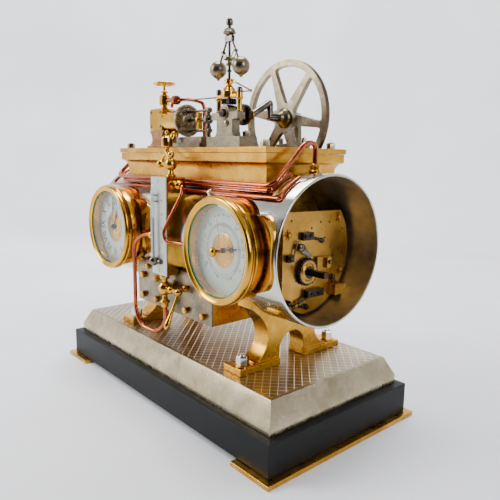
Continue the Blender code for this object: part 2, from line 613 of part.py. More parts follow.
def build_crosshead():
    bed = box((-52.0, BORE_Y - 14.0, ON_DECK), (-2.0, BORE_Y + 12.0, 268.2))
    yoke = prism(rounded_rectangle((BORE_Y, 282.4), 3.6, 15.8, 3.4), "x", -7.5, -3.5)
    pieces = [bed, yoke]
    for z in GUIDE_RODS:
        pieces.append(rod((-39.6, BORE_Y, z), (-5.0, BORE_Y, z), 1.2))
        pieces.append(ball(3.0, (-3.6, BORE_Y, z)))
    engine_node("guide_bed", "nickel", pieces, [disc(2.0, "x", -12.0, 6.0, (0, BORE_Y, BORE_Z), 20)])
    piston = disc(6.7, "x", -66.0, -60.0, (0, BORE_Y, BORE_Z), 24)
    shaft = rod((-61.0, BORE_Y, BORE_Z), (14.0, BORE_Y, BORE_Z), 1.5)
    eye = disc(3.2, "y", -1.7, 1.7, (14.0, BORE_Y, BORE_Z), 16)
    engine_node("piston_rod", "steel", [piston, shaft, ball(3.4, (-22.0, BORE_Y, BORE_Z)), eye],
              origin=(-22.0, BORE_Y, BORE_Z))


def build_stop_valve():
    body = turned([(0.0, 300.8), (4.6, 300.8), (3.0, 302.6), (3.0, 305.0), (5.4, 306.2), (5.4, 315.6), (4.0, 316.8),
                   (2.2, 317.4), (3.8, 318.6), (3.8, 320.4), (0.0, 321.0)], "z", (CHEST_X, BORE_Y, 0.0), 16)
    outlet = rod((CHEST_X, BORE_Y, 310.5), (-66.0, BORE_Y - 1.5, 309.0), 2.2)
    flange = rod((-67.0, BORE_Y - 1.45, 309.05), (-64.2, BORE_Y - 1.6, 308.9), 5.0, 20)
    engine_node("stop_valve_body", "gilt", [body, outlet, flange])
    wheel_z, wheel_r = 328.6, 11.5
    tube = [(wheel_r + 1.3 * math.cos(a), wheel_z + 1.3 * math.sin(a))
            for a in [2 * math.pi * k / 6 for k in range(6)]]
    pieces = [turned(tube, "z", (CHEST_X, BORE_Y, 0.0), 20)]
    for angle in (0.0, 60.0, 120.0):
        dx, dy = wheel_r * math.cos(math.radians(angle)), wheel_r * math.sin(math.radians(angle))
        pieces.append(rod((CHEST_X - dx, BORE_Y - dy, wheel_z), (CHEST_X + dx, BORE_Y + dy, wheel_z), 0.9, 6))
    stem = [(0.0, 321.4), (1.4, 321.4), (1.4, 326.1), (2.6, 327.0), (2.6, 330.2), (1.2, 331.0), (0.0, 332.0)]
    pieces.append(turned(stem, "z", (CHEST_X, BORE_Y, 0.0), 12))
    engine_node("valve_handwheel", "gilt", pieces, origin=(CHEST_X, BORE_Y, wheel_z))
    foot = (-35.5, 4.6)
    route = [(-57.0, -11.5, 309.0), (-47.0, -4.0, 309.0), (-37.5, 3.2, 306.0), (foot[0], foot[1], 300.0),
             (foot[0], foot[1], ON_DECK)]
    engine_node("steam_pipe", "copper", [rod((-63.8, BORE_Y - 1.62, 308.88), (-61.0, BORE_Y - 1.8, 308.6), 5.0, 20),
                                       pipe([(-63.0, BORE_Y - 1.65, 308.8)] + route, 1.8, 9.0),
                                       nut(foot[0], foot[1], ON_DECK, 3.0, 4.0)])


# ---------------------------------------------------------------- governor
def stand_outline():
    """Foot, waist, shoulders and round head of the governor stand."""
    right = [(24.0, 266.0), (14.5, 266.6), (12.4, 268.6), (12.0, 282.6), (20.0, 283.2), (20.0, 289.8), (6.8, 289.8)]
    head = arc((0.0, 289.8), 6.8, 0.0, 180.0, 10)[1:-1]
    left = [(-x, z) for x, z in reversed(right)]
    return [(CRANK_X + x, z) for x, z in [(24.0, 262.0)] + right + head + left + [(-24.0, 262.0)]]


def build_governor_stand():
    foot = box((CRANK_X - 26.0, -26.0, ON_DECK), (CRANK_X + 26.0, -4.0, 267.0))
    body = prism(stand_outline(), "y", -24.0, -14.2)
    bore = disc(3.0, "y", -30.0, 0.0, (CRANK_X, 0.0, CRANK_Z), 20)
    engine_node("governor_stand", "nickel", [body, foot], [bore])
    pieces = [box((CRANK_X - 16.0, GOVERNOR_Y - 1.6, 303.2), (CRANK_X + 16.0, GOVERNOR_Y + 1.6, 306.2)),
              disc(6.6, "z", 303.2, 311.0, (CRANK_X, GOVERNOR_Y, 0.0), 24)]
    for side in (-1, 1):
        post = [(0.0, 290.1), (3.2, 290.1), (3.2, 291.4), (2.2, 291.8), (2.2, 301.6), (3.2, 302.4), (3.2, 304.0),
                (2.3, 304.6), (2.3, 310.4), (1.2, 312.4), (0.0, 312.8)]
        pieces.append(turned(post, "z", (CRANK_X + side * 16.0, GOVERNOR_Y, 0.0), 10))
    engine_node("governor_frame", "gilt", pieces, [disc(1.8, "z", 300.0, 315.0, (CRANK_X, GOVERNOR_Y, 0.0), 16)])


def build_governor():
    axis = (CRANK_X, GOVERNOR_Y, 0.0)
    spindle = [(0.0, 297.2), (7.5, 297.2), (7.5, 302.4), (1.4, 302.8), (1.4, 311.4), (6.2, 311.4), (3.4, 314.6),
               (2.4, 315.6), (2.4, 318.0), (4.8, 319.0), (4.8, 321.0), (1.4, 322.0), (1.4, 327.0), (2.2, 327.6),
               (2.2, 329.0), (1.3, 329.6), (1.3, 359.5), (3.0, 359.6), (6.0, 362.5), (6.2, 364.0), (3.0, 366.4),
               (1.2, 367.2), (1.2, 368.6), (3.0, 369.6), (3.3, 372.0), (2.4, 374.8), (0.0, 375.9)]
    pieces = [turned(spindle, "z", axis, 12)]
    for y in (GOVERNOR_Y - 1.9, GOVERNOR_Y + 1.0):
        pieces.append(box((CRANK_X - 5.4, y, ARM_PIVOT[1] - 2.4), (CRANK_X + 5.4, y + 0.9, 360.0)))
    engine_node("governor_spindle", "steel", pieces, origin=(CRANK_X, GOVERNOR_Y, 340.0))
    for name, side in (("left", -1), ("right", 1)):
        pivot = Vector((CRANK_X + side * ARM_PIVOT[0], GOVERNOR_Y, ARM_PIVOT[1]))
        weight = Vector((CRANK_X + side * BALL_PLACE[0], GOVERNOR_Y, BALL_PLACE[1]))
        foot = weight - Vector((0.0, 0.0, BALL_R + 1.8))
        eye = disc(1.5, "y", GOVERNOR_Y - 0.7, GOVERNOR_Y + 0.7, (pivot.x, 0.0, pivot.z), 12)
        engine_node("governor_arm_" + name, "nickel",
                  [ball(BALL_R, weight, 18, 9), rod(pivot, weight, 0.95, 8), eye, rod(weight, foot, 1.3, 8)],
                  origin=tuple(pivot))


def build_sleeve():
    axis = (CRANK_X, GOVERNOR_Y, 0.0)
    profile = [(1.7, 333.0), (3.4, 333.0), (3.4, 334.6), (2.4, 335.2), (2.4, 338.0), (5.2, 338.6), (5.2, 340.2),
               (1.7, 340.2)]
    engine_node("governor_sleeve", "gilt", [turned(profile, "z", axis, 14)], origin=(CRANK_X, GOVERNOR_Y, 337.0))


# ---------------------------------------------------------------- crank and wheel
def build_crank():
    def on_shaft(y, rise=0.0):
        return (CRANK_X, y, CRANK_Z + rise)
    centre = on_shaft(0.0)
    pieces = [rod(on_shaft(-27.5), on_shaft(12.0), 2.5, 14),
              disc(4.4, "y", -28.0, -24.4, centre, 6),
              disc(7.9, "y", -12.6, -9.6, centre, 24),
              disc(10.5, "y", -2.0, 3.0, centre, 24),
              disc(5.4, "y", 8.0, 11.0, centre, 20),
              rod(on_shaft(10.0), on_shaft(33.0, CRANK_THROW), 3.4),
              ball(3.9, on_shaft(34.2, CRANK_THROW)),
              rod(on_shaft(35.4, CRANK_THROW), on_shaft(35.4, -1.5), 3.3),
              disc(3.9, "y", 34.2, 45.7, centre, 14),
              rod(on_shaft(34.0), on_shaft(REAR_BEARING[1] + 0.8), 2.5, 14),
              disc(4.2, "y", 63.0, 66.4, centre, 6)]
    engine_node("crankshaft", "steel", pieces, origin=centre)


def build_pedestal():
    def at(x, z):
        return (CRANK_X + x, z)
    outline = [at(-27.0, ON_DECK), at(20.0, ON_DECK), at(20.0, 263.0), at(11.0, 264.0), at(7.0, 268.0)]
    outline += arc((CRANK_X, CRANK_Z), 7.0, -30.0, 210.0, 14)
    outline += [at(-7.0, 268.0), at(-11.0, 264.0), at(-27.0, 263.0)]
    front, back = REAR_BEARING
    bore = disc(2.9, "y", front - 5.0, back + 5.0, (CRANK_X, 0.0, CRANK_Z), 20)
    engine_node("rear_pedestal", "nickel", [prism(outline, "y", front, back)], [bore])


def build_flywheel():
    centre = (CRANK_X, 0.0, CRANK_Z)
    half = 2.7
    rim = ring(RIM_INNER_R, WHEEL_R, "y", WHEEL_Y - half, WHEEL_Y + half, centre, 48)
    hub = turned([(2.8, 46.2), (5.0, 46.2), (8.6, 54.0), (8.6, 62.6), (2.8, 62.6)], "y", centre, 24)
    pieces = [rim, hub]
    for k in range(SPOKES):
        a = math.radians(SPOKE_PHASE + 360.0 / SPOKES * k)
        along = (math.cos(a), math.sin(a))
        across = (-math.sin(a), math.cos(a))
        corners = ((6.0, 3.4), (RIM_INNER_R + 2.0, 2.9), (RIM_INNER_R + 2.0, -2.9), (6.0, -3.4))
        outline = [(CRANK_X + along[0] * r + across[0] * w, CRANK_Z + along[1] * r + across[1] * w)
                   for r, w in corners]
        pieces.append(prism(outline, "y", WHEEL_Y - half + 0.3, WHEEL_Y + half - 0.3))
    engine_node("flywheel", "nickel", pieces, origin=(CRANK_X, WHEEL_Y, CRANK_Z))


def main():
    for old in list(bpy.data.objects):
        bpy.data.objects.remove(old, do_unlink=True)
    for name, values in FINISHES.items():
        material(name, *values)
    build_base()
    build_saddles()
    build_boiler()
    build_firebox()
    build_deck()
    build_clock()
    build_barometer()
    build_thermometer()
    build_movement()
    build_pipes()
    build_taps()
    build_cylinder()
    build_crosshead()
    build_stop_valve()
    build_governor_stand()
    build_governor()
    build_sleeve()
    build_crank()
    build_pedestal()
    build_flywheel()


main()
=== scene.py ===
# %% [markdown]
# # A model steam engine that is a clock
# The object is a desk piece of about 1890: a boiler on a stepped base, with a clock and an
# aneroid barometer on its front, a thermometer between them, and a small engine on its deck.
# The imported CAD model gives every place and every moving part. This lesson builds the looks
# around it. All sizes are written in millimetres and turned into metres by one helper.

# %% Load the frame
import bpy
import bmesh
import json
import math
from mathutils import Matrix, Vector


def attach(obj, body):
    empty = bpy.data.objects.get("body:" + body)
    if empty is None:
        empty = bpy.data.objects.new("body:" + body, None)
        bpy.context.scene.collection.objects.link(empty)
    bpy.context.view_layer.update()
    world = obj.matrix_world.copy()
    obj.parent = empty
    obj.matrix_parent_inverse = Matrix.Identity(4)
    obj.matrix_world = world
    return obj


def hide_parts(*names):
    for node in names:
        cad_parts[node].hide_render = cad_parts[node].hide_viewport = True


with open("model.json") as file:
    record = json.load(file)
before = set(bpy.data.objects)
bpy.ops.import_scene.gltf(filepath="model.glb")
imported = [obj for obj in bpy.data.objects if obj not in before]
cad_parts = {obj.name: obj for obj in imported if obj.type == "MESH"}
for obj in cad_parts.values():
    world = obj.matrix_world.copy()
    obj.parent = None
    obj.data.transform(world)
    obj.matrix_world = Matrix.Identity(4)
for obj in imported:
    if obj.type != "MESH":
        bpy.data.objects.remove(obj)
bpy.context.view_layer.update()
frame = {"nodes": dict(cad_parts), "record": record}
NODES = frame["nodes"]
MM = 0.001

# %% [markdown]
# ## Sizes used by more than one piece
# A few axes are shared: the boiler's, the two dials', the crankshaft's and the cylinder's.
# Naming them once keeps the pieces in line with the CAD parts that move.

# %% Shared sizes
AXIS_Z, BOILER_R, BOILER_HALF = 169.0, 67.0, 156.6
PLATE_TOP, DECK_TOP = 59.0, 257.0
DIAL_X, DIAL_Z, DRUM_R, BEZEL_R = 98.9, 170.0, 44.0, 46.7
CRANK_X, CRANK_Z, CRANK_THROW = 36.0, 289.0, 13.4
GOVERNOR_Y, WHEEL_Y, WHEEL_R = -18.0, 58.5, 59.0
CHEST_X, BORE_Y, BORE_Z = -90.0, -12.0, 286.0
TAP_Y = -70.0
SADDLES = (("left", -88.0), ("right", 102.5))
PLATE_X, ARBOR_Y, ARBOR_Z = 122.3, 1.0, 147.0
REAR_BEARING = (70.5, 76.2)
WHEEL_SLOT = ((12.0, 27.0), (112.0, 39.3))
# The engine is drawn on its own bench, then scaled and set on the deck as one group.
BENCH_PLACE, BENCH_SCALE = (28.2, -21.7, DECK_TOP), 0.937
BENCH = (Matrix.Translation(BENCH_PLACE) @ Matrix.Scale(BENCH_SCALE, 4)
         @ Matrix.Translation((0.0, 0.0, -DECK_TOP)))
print("boiler radius", BOILER_R, "deck top", DECK_TOP)

# %% [markdown]
# ## Colours and one helper for nodes
# Colours are picked as sRGB hex values, as on a paint chart, and the renderer works in linear
# light, so one function converts them. A second small function adds a shader node, sets it
# and links it.

# %% Colour and node helpers
def linear(code):
    """sRGB hex to linear red, green, blue and full alpha."""
    parts = [int(code[k:k + 2], 16) / 255.0 for k in (0, 2, 4)]
    return tuple([c / 12.92 if c <= 0.04045 else ((c + 0.055) / 1.055) ** 2.4 for c in parts] + [1.0])


def add(tree, kind, inputs=None, **settings):
    """Adds a node; an input is either a plain value or another node's output."""
    node = tree.nodes.new(kind)
    for key, value in settings.items():
        setattr(node, key, value)
    for key, value in (inputs or {}).items():
        if isinstance(value, bpy.types.NodeSocket):
            tree.links.new(value, node.inputs[key])
        else:
            node.inputs[key].default_value = value
    return node


def new_finish(name):
    """An empty material: its node tree and its Principled shader."""
    mat = bpy.data.materials.new(name)
    mat.use_nodes = True
    tree = mat.node_tree
    return mat, tree, tree.nodes["Principled BSDF"]


def ramp(tree, factor, stops):
    """A colour ramp from (place, hex) pairs."""
    node = add(tree, "ShaderNodeValToRGB", {"Fac": factor})
    band = node.color_ramp
    while len(band.elements) < len(stops):
        band.elements.new(0.5)
    for element, (place, code) in zip(band.elements, stops):
        element.position = place
        element.color = linear(code)
    return node.outputs["Color"]


print("helpers ready")

# %% [markdown]
# ## Metals
# Every metal here is a mirror with a tint. What tells them apart is the tint, how wide the
# highlight spreads, and the marks of working: polishing lines, handling and slight tarnish.
# One recipe draws these: a slow noise shifts the tint, a second one the gloss, and a fine
# stretched noise gives the polishing lines as a very shallow bump.

# %% Metal recipe
def metal(name, tints, gloss, grain=(1.0, 1.0, 1.0), line_mm=0.35, lines=0.04, patch_mm=26.0):
    mat, tree, shader = new_finish(name)
    place = add(tree, "ShaderNodeTexCoord").outputs["Object"]
    patches = add(tree, "ShaderNodeTexNoise", {"Vector": place, "Scale": 1000.0 / patch_mm, "Detail": 5.0,
                                               "Roughness": 0.6})
    tree.links.new(ramp(tree, patches.outputs["Fac"], tints), shader.inputs["Base Color"])
    smudge = add(tree, "ShaderNodeTexNoise", {"Vector": place, "Scale": 1000.0 / (patch_mm * 0.4),
                                              "Detail": 4.0})
    spread = add(tree, "ShaderNodeMapRange", {"Value": smudge.outputs["Fac"], "From Min": 0.35,
                                              "From Max": 0.7,
                                              "To Min": gloss[0], "To Max": gloss[1]})
    tree.links.new(spread.outputs["Result"], shader.inputs["Roughness"])
    stretched = add(tree, "ShaderNodeMapping", {"Vector": place, "Scale": grain})
    fine = add(tree, "ShaderNodeTexNoise", {"Vector": stretched.outputs["Vector"], "Scale": 1000.0 / line_mm,
                                            "Detail": 3.0})
    bump = add(tree, "ShaderNodeBump", {"Height": fine.outputs["Fac"], "Strength": lines, "Distance": 0.0004})
    tree.links.new(bump.outputs["Normal"], shader.inputs["Normal"])
    shader.inputs["Metallic"].default_value = 1.0
    return mat


# Fire-gilt brass: deep warm yellow, almost a mirror.
GILT = metal("fire_gilt_brass", [(0.3, "C08A22"), (0.55, "DAA438"), (0.8, "ECBE5C")], (0.12, 0.22))
# Gilt brass left satin from the file, on the broad flats of the deck and the saddles.
SATIN_GILT = metal("satin_gilt_brass", [(0.3, "B88224"), (0.55, "D29C38"), (0.8, "E2B45A")], (0.24, 0.36),
                   grain=(0.12, 1.0, 1.0), lines=0.10)
# Nickel plate: a warm grey with a yellow cast from the brass below it.
NICKEL = metal("nickel_plate", [(0.3, "8F8265"), (0.55, "AA9D7F"), (0.8, "BBAF93")], (0.22, 0.34),
               grain=(0.15, 1.0, 1.0), lines=0.08)
# Brighter nickel on the shell, rolled and polished lengthwise.
BRIGHT_NICKEL = metal("polished_nickel_plate", [(0.3, "CFCBBE"), (0.7, "E2E0D6")], (0.10, 0.20),
                      grain=(0.1, 1.0, 1.0), lines=0.03)
# Cast nickelled brass of the flywheel and engine stands: duller and slightly brown.
CAST_NICKEL = metal("nickelled_casting", [(0.3, "6E634E"), (0.6, "8B7F68"), (0.8, "9E927B")], (0.26, 0.40),
                    line_mm=0.8, lines=0.10, patch_mm=14.0)
# Polished copper tube, slightly rosy.
COPPER = metal("polished_copper", [(0.3, "9C4A2E"), (0.6, "B96443"), (0.85, "CC8261")], (0.12, 0.22),
               patch_mm=16.0)
STEEL = metal("bright_steel", [(0.3, "57524A"), (0.7, "827B70")], (0.16, 0.28), patch_mm=8.0)
DARK_STEEL = metal("oil_blacked_steel", [(0.3, "2A2623"), (0.7, "4A423C")], (0.22, 0.36), patch_mm=6.0)
BLUED = metal("blued_steel", [(0.3, "14162A"), (0.7, "22284A")], (0.2, 0.3), patch_mm=6.0)
BRONZE = metal("brown_bronze", [(0.3, "7C5230"), (0.7, "A87A4A")], (0.26, 0.4), patch_mm=10.0)
# Movement brass, lapped flat and lacquered.
BRASS = metal("lapped_movement_brass", [(0.3, "A47830"), (0.55, "BC8F40"), (0.8, "CCA456")], (0.26, 0.38),
              grain=(1.0, 1.0, 0.15), lines=0.10)
print("metals:", len(bpy.data.materials))

# %% [markdown]
# ## Cross-hatched nickel
# The base plate's top was ruled with a tool at 45 degrees both ways, about 7 mm apart, and a
# plain border was left around it. A wave that peaks once per pitch stands for each set of
# rulings. Where either set peaks, the surface dips, and its colour is painted pale there as a
# painted highlight for the light the cut lines catch.

# %% Ruled plate finish
def ruled_plate():
    pitch, border_x, border_y = 0.0068, 0.1605, 0.0715
    mat, tree, shader = new_finish("ruled_nickel_plate")
    place = add(tree, "ShaderNodeTexCoord").outputs["Object"]
    split = add(tree, "ShaderNodeSeparateXYZ", {"Vector": place})
    x, y = split.outputs["X"], split.outputs["Y"]
    grooves = []
    for sign in ("ADD", "SUBTRACT"):
        across = add(tree, "ShaderNodeMath", {0: x, 1: y}, operation=sign)
        along = add(tree, "ShaderNodeMath", {0: across.outputs[0], 1: 0.7071 / pitch}, operation="MULTIPLY")
        saw = add(tree, "ShaderNodeMath", {0: along.outputs[0], 1: 0.5}, operation="PINGPONG")
        line = add(tree, "ShaderNodeMapRange", {"Value": saw.outputs[0], "From Min": 0.0, "From Max": 0.085,
                                                "To Min": 1.0, "To Max": 0.0})
        grooves.append(line.outputs["Result"])
    either = add(tree, "ShaderNodeMath", {0: grooves[0], 1: grooves[1]}, operation="MAXIMUM")
    inside = []
    for axis, half in ((x, border_x), (y, border_y)):
        size = add(tree, "ShaderNodeMath", {0: axis}, operation="ABSOLUTE")
        inside.append(add(tree, "ShaderNodeMath", {0: size.outputs[0], 1: half},
                          operation="LESS_THAN").outputs[0])
    field = add(tree, "ShaderNodeMath", {0: inside[0], 1: inside[1]}, operation="MULTIPLY")
    marks = add(tree, "ShaderNodeMath", {0: either.outputs[0], 1: field.outputs[0]}, operation="MULTIPLY")
    noise = add(tree, "ShaderNodeTexNoise", {"Vector": place, "Scale": 38.0, "Detail": 6.0})
    body = ramp(tree, noise.outputs["Fac"], [(0.3, "7E6D50"), (0.55, "958467"), (0.8, "A8987C")])
    # The grooves are also painted a pale nickel: a painted highlight for the light the cut lines catch, over
    # the real bump below.
    tint = add(tree, "ShaderNodeMix", {"Factor": marks.outputs[0], "B": linear("E6DEC9")}, data_type="RGBA")
    tree.links.new(body, tint.inputs["A"])
    tree.links.new(tint.outputs["Result"], shader.inputs["Base Color"])
    bump = add(tree, "ShaderNodeBump", {"Height": marks.outputs[0], "Strength": 0.7, "Distance": 0.0005},
               invert=True)
    tree.links.new(bump.outputs["Normal"], shader.inputs["Normal"])
    shader.inputs["Metallic"].default_value = 1.0
    shader.inputs["Roughness"].default_value = 0.34
    return mat


RULED = ruled_plate()
print("ruled plate ready")

# %% [markdown]
# ## Wood, enamel, glass and ink
# The slab is ebonised pear wood, rubbed down to a satin black, so it keeps a faint grain.
# The dials are silvered: brass rubbed with silver salts, which leaves a soft white with little
# gloss. The covers are plate glass. Its body is nearly clear, and the ground edge looks green
# because one looks along it through much more glass.

# %% Other finishes
def ebonised():
    mat, tree, shader = new_finish("ebonised_pear_wood")
    place = add(tree, "ShaderNodeTexCoord").outputs["Object"]
    long_way = add(tree, "ShaderNodeMapping", {"Vector": place, "Scale": (0.06, 1.0, 1.0)})
    grain = add(tree, "ShaderNodeTexNoise", {"Vector": long_way.outputs["Vector"], "Scale": 700.0,
                                             "Detail": 6.0})
    tree.links.new(ramp(tree, grain.outputs["Fac"], [(0.35, "06080A"), (0.7, "0C0F12")]),
                   shader.inputs["Base Color"])
    bump = add(tree, "ShaderNodeBump", {"Height": grain.outputs["Fac"], "Strength": 0.05, "Distance": 0.0003})
    tree.links.new(bump.outputs["Normal"], shader.inputs["Normal"])
    shader.inputs["Roughness"].default_value = 0.5
    shader.inputs["Specular IOR Level"].default_value = 0.22
    return mat


def silvered():
    mat, tree, shader = new_finish("silvered_brass")
    place = add(tree, "ShaderNodeTexCoord").outputs["Object"]
    frost = add(tree, "ShaderNodeTexNoise", {"Vector": place, "Scale": 1600.0, "Detail": 3.0})
    tree.links.new(ramp(tree, frost.outputs["Fac"], [(0.3, "BCC2B4"), (0.7, "CDD3C6")]),
                   shader.inputs["Base Color"])
    shader.inputs["Metallic"].default_value = 0.25
    shader.inputs["Roughness"].default_value = 0.42
    return mat


def clear(name, tint, alpha):
    mat, tree, shader = new_finish(name)
    place = add(tree, "ShaderNodeTexCoord").outputs["Object"]
    film = add(tree, "ShaderNodeTexNoise", {"Vector": place, "Scale": 60.0})
    veil = add(tree, "ShaderNodeMapRange", {"Value": film.outputs["Fac"], "To Min": 0.01, "To Max": 0.05})
    tree.links.new(veil.outputs["Result"], shader.inputs["Roughness"])
    shader.inputs["Base Color"].default_value = linear(tint)
    shader.inputs["Alpha"].default_value = alpha
    shader.inputs["IOR"].default_value = 1.52
    shader.inputs["Coat Weight"].default_value = 1.0
    return mat


def ink():
    mat, tree, shader = new_finish("black_engravers_wax")
    place = add(tree, "ShaderNodeTexCoord").outputs["Object"]
    wear = add(tree, "ShaderNodeTexNoise", {"Vector": place, "Scale": 900.0, "Detail": 3.0})
    tree.links.new(ramp(tree, wear.outputs["Fac"], [(0.3, "17191B"), (0.75, "3C4042")]),
                   shader.inputs["Base Color"])
    shader.inputs["Roughness"].default_value = 0.55
    return mat


EBONISED, SILVERED, INK = ebonised(), silvered(), ink()
COVER_GLASS = clear("plate_glass", "F2FBF6", 0.07)
GREEN_EDGE = clear("ground_glass_edge", "4FB79A", 0.62)
TUBE_GLASS = clear("capillary_glass", "E8F2F4", 0.35)
FINISHES = {"gilt": GILT, "nickel": NICKEL, "ebonised": EBONISED, "copper": COPPER, "steel": STEEL,
            "brass": BRASS,
            "silvered": SILVERED, "blued": BLUED, "bronze": BRONZE, "glass": COVER_GLASS}
print("finishes:", len(bpy.data.materials))

# %% [markdown]
# ## Shapes
# A maker of such a piece has a lathe, a saw and a file, and the helpers are the same: turn a
# profile, saw a plate to an outline, bend a tube. Each returns a bmesh in millimetres. The
# last helper joins them into one named piece, rounds the sharp edges a little, as a buffing
# wheel does, and hangs the piece on a CAD body.

# %% Turning
def lathe(profile, axis, centre, steps=64):
    """(radius, height) points turned about an axis; closed on the axis or as a ring."""
    bm = bmesh.new()
    rings = []
    for radius, height in profile:
        count = 1 if radius == 0.0 else steps
        angles = [2 * math.pi * k / steps for k in range(count)]
        rings.append([bm.verts.new((radius * math.cos(a), radius * math.sin(a), height)) for a in angles])
    pairs = list(zip(rings, rings[1:]))
    if profile[0][0] > 0.0:
        pairs.append((rings[-1], rings[0]))
    for lower, upper in pairs:
        for k in range(steps):
            j = (k + 1) % steps
            corners = [lower[k % len(lower)], lower[j % len(lower)], upper[j % len(upper)],
                       upper[k % len(upper)]]
            corners = list(dict.fromkeys(corners))
            if len(corners) > 2:
                bm.faces.new(corners)
    turns = {"x": Matrix.Rotation(math.pi / 2, 4, "Y"), "y": Matrix.Rotation(-math.pi / 2, 4, "X"),
             "z": Matrix.Identity(4)}
    bm.transform(Matrix.Translation(Vector(centre)) @ turns[axis])
    return bm


def disc(radius, axis, low, high, centre, steps=48):
    return lathe([(0.0, low), (radius, low), (radius, high), (0.0, high)], axis, centre, steps)


def ring(inner, outer, axis, low, high, centre, steps=64):
    return lathe([(inner, low), (outer, low), (outer, high), (inner, high)], axis, centre, steps)


def ball(radius, centre, steps=32):
    rows = 16
    profile = [(radius * math.sin(math.pi * k / rows),
                -radius * math.cos(math.pi * k / rows)) for k in range(rows + 1)]
    profile[0], profile[-1] = (0.0, -radius), (0.0, radius)
    return lathe(profile, "z", centre, steps)


def between(bm, start, end):
    """Lays a shape turned about Z from the first point towards the second."""
    along = Vector(end) - Vector(start)
    turn = Vector((0, 0, 1)).rotation_difference(along.normalized()).to_matrix().to_4x4()
    bm.transform(Matrix.Translation(Vector(start)) @ turn)
    return bm


def rod(start, end, radius, steps=24):
    length = (Vector(end) - Vector(start)).length
    return between(lathe([(0.0, 0.0), (radius, 0.0), (radius, length), (0.0, length)], "z", (0, 0, 0),
                         steps), start, end)


def nut(axis, centre, radius, height, dome=1.2):
    """A hexagon nut with a domed stud end through it."""
    hexagon = lathe([(0.0, 0.0), (radius * 0.93, 0.0), (radius, height * 0.12), (radius, height * 0.82),
                     (radius * 0.88, height), (0.0, height)], axis, centre, 6)
    stud = lathe([(0.0, 0.0), (radius * 0.45, 0.0), (radius * 0.45, height + dome * 0.6),
                  (radius * 0.25, height + dome), (0.0, height + dome)], axis, centre, 20)
    return [hexagon, stud]


print("turning helpers ready")

# %% Sawing and bending
def arc(centre, radius, start, end, steps):
    angles = [math.radians(start + (end - start) * k / steps) for k in range(steps + 1)]
    return [(centre[0] + radius * math.cos(a), centre[1] + radius * math.sin(a)) for a in angles]


def sawn(outline, axis, low, high):
    """A plate sawn to an outline. The pairs are the two axes other than the thickness's."""
    order = {"x": (1, 2, 0), "y": (0, 2, 1), "z": (0, 1, 2)}[axis]
    bm = bmesh.new()
    ends = []
    for level in (low, high):
        loop = []
        for first, second in outline:
            place = [0.0, 0.0, 0.0]
            place[order[0]], place[order[1]], place[order[2]] = first, second, level
            loop.append(bm.verts.new(place))
        ends.append(loop)
        bm.faces.new(loop)
    for k in range(len(outline)):
        j = (k + 1) % len(outline)
        bm.faces.new((ends[0][k], ends[0][j], ends[1][j], ends[1][k]))
    return bm


def block(low, high):
    outline = [(low[0], low[1]), (high[0], low[1]), (high[0], high[1]), (low[0], high[1])]
    return sawn(outline, "z", low[2], high[2])


def rounded(points, bend, steps=6, closed=False):
    """Replaces each corner of a run of points by a short curve."""
    points = [Vector(p) for p in points]
    count = len(points)
    corners = range(count) if closed else range(1, count - 1)
    route = [] if closed else [points[0]]
    for k in corners:
        corner = points[k]
        into, out = points[k - 1] - corner, points[(k + 1) % count] - corner
        reach = min(bend, into.length * 0.48, out.length * 0.48)
        start, end = corner + into.normalized() * reach, corner + out.normalized() * reach
        for s in range(steps + 1):
            t = s / steps
            route.append(start * (1 - t) ** 2 + corner * 2 * t * (1 - t) + end * t ** 2)
    return route if closed else route + [points[-1]]


def tube(points, radius, bend, steps=16):
    """Bent round bar or tube along a route."""
    route = rounded(points, bend)
    bm = bmesh.new()
    loops = []
    side = None
    for k, place in enumerate(route):
        ahead = (route[min(k + 1, len(route) - 1)] - route[max(k - 1, 0)]).normalized()
        side = ahead.orthogonal() if side is None else side - ahead * side.dot(ahead)
        side.normalize()
        other = ahead.cross(side)
        turns = [2 * math.pi * s / steps for s in range(steps)]
        spokes = [side * math.cos(a) + other * math.sin(a) for a in turns]
        loops.append([bm.verts.new(place + spoke * radius) for spoke in spokes])
    bm.faces.new(loops[0])
    bm.faces.new(loops[-1])
    for first, second in zip(loops, loops[1:]):
        for s in range(steps):
            t = (s + 1) % steps
            bm.faces.new((first[s], first[t], second[t], second[s]))
    return bm


def moulding(levels):
    """Stacked rectangles: (height, half length, half depth)."""
    bm = bmesh.new()
    corners = ((-1, -1), (1, -1), (1, 1), (-1, 1))
    loops = [[bm.verts.new((sx * hx, sy * hy, z)) for sx, sy in corners] for z, hx, hy in levels]
    bm.faces.new(loops[0])
    bm.faces.new(loops[-1])
    for lower, upper in zip(loops, loops[1:]):
        for k in range(4):
            j = (k + 1) % 4
            bm.faces.new((lower[k], lower[j], upper[j], upper[k]))
    return bm


print("sawing helpers ready")

# %% Joining
MADE = []


def piece(name, finish, body, solids, instead=(), edge=0.25, slot=None, bench=Matrix.Identity(4)):
    """Joins solids into one piece with softly broken edges, riding on a CAD body."""
    whole = bmesh.new()
    for part in solids:
        bmesh.ops.recalc_face_normals(part, faces=part.faces)
        if edge > 0.0:
            folded = [e for e in part.edges if len(e.link_faces) == 2]
            sharp = [e for e in folded if e.calc_face_angle() > math.radians(42)]
            bmesh.ops.bevel(part, geom=sharp, offset=edge, segments=2, profile=0.5, affect="EDGES",
                            clamp_overlap=True)
        shell = bpy.data.meshes.new("part")
        part.to_mesh(shell)
        part.free()
        whole.from_mesh(shell)
        bpy.data.meshes.remove(shell)
    whole.transform(Matrix.Scale(MM, 4) @ bench)
    mesh = bpy.data.meshes.new(name)
    whole.to_mesh(mesh)
    whole.free()
    mesh.materials.append(finish)
    mesh.shade_smooth()
    mesh.set_sharp_from_angle(angle=math.radians(48))
    obj = bpy.data.objects.new(name, mesh)
    bpy.context.scene.collection.objects.link(obj)
    if edge > 0.0:
        even = obj.modifiers.new("even shading", "WEIGHTED_NORMAL")
        even.keep_sharp = True
    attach(obj, body)
    if instead:
        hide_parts(*instead)
    MADE.append(name)
    return obj


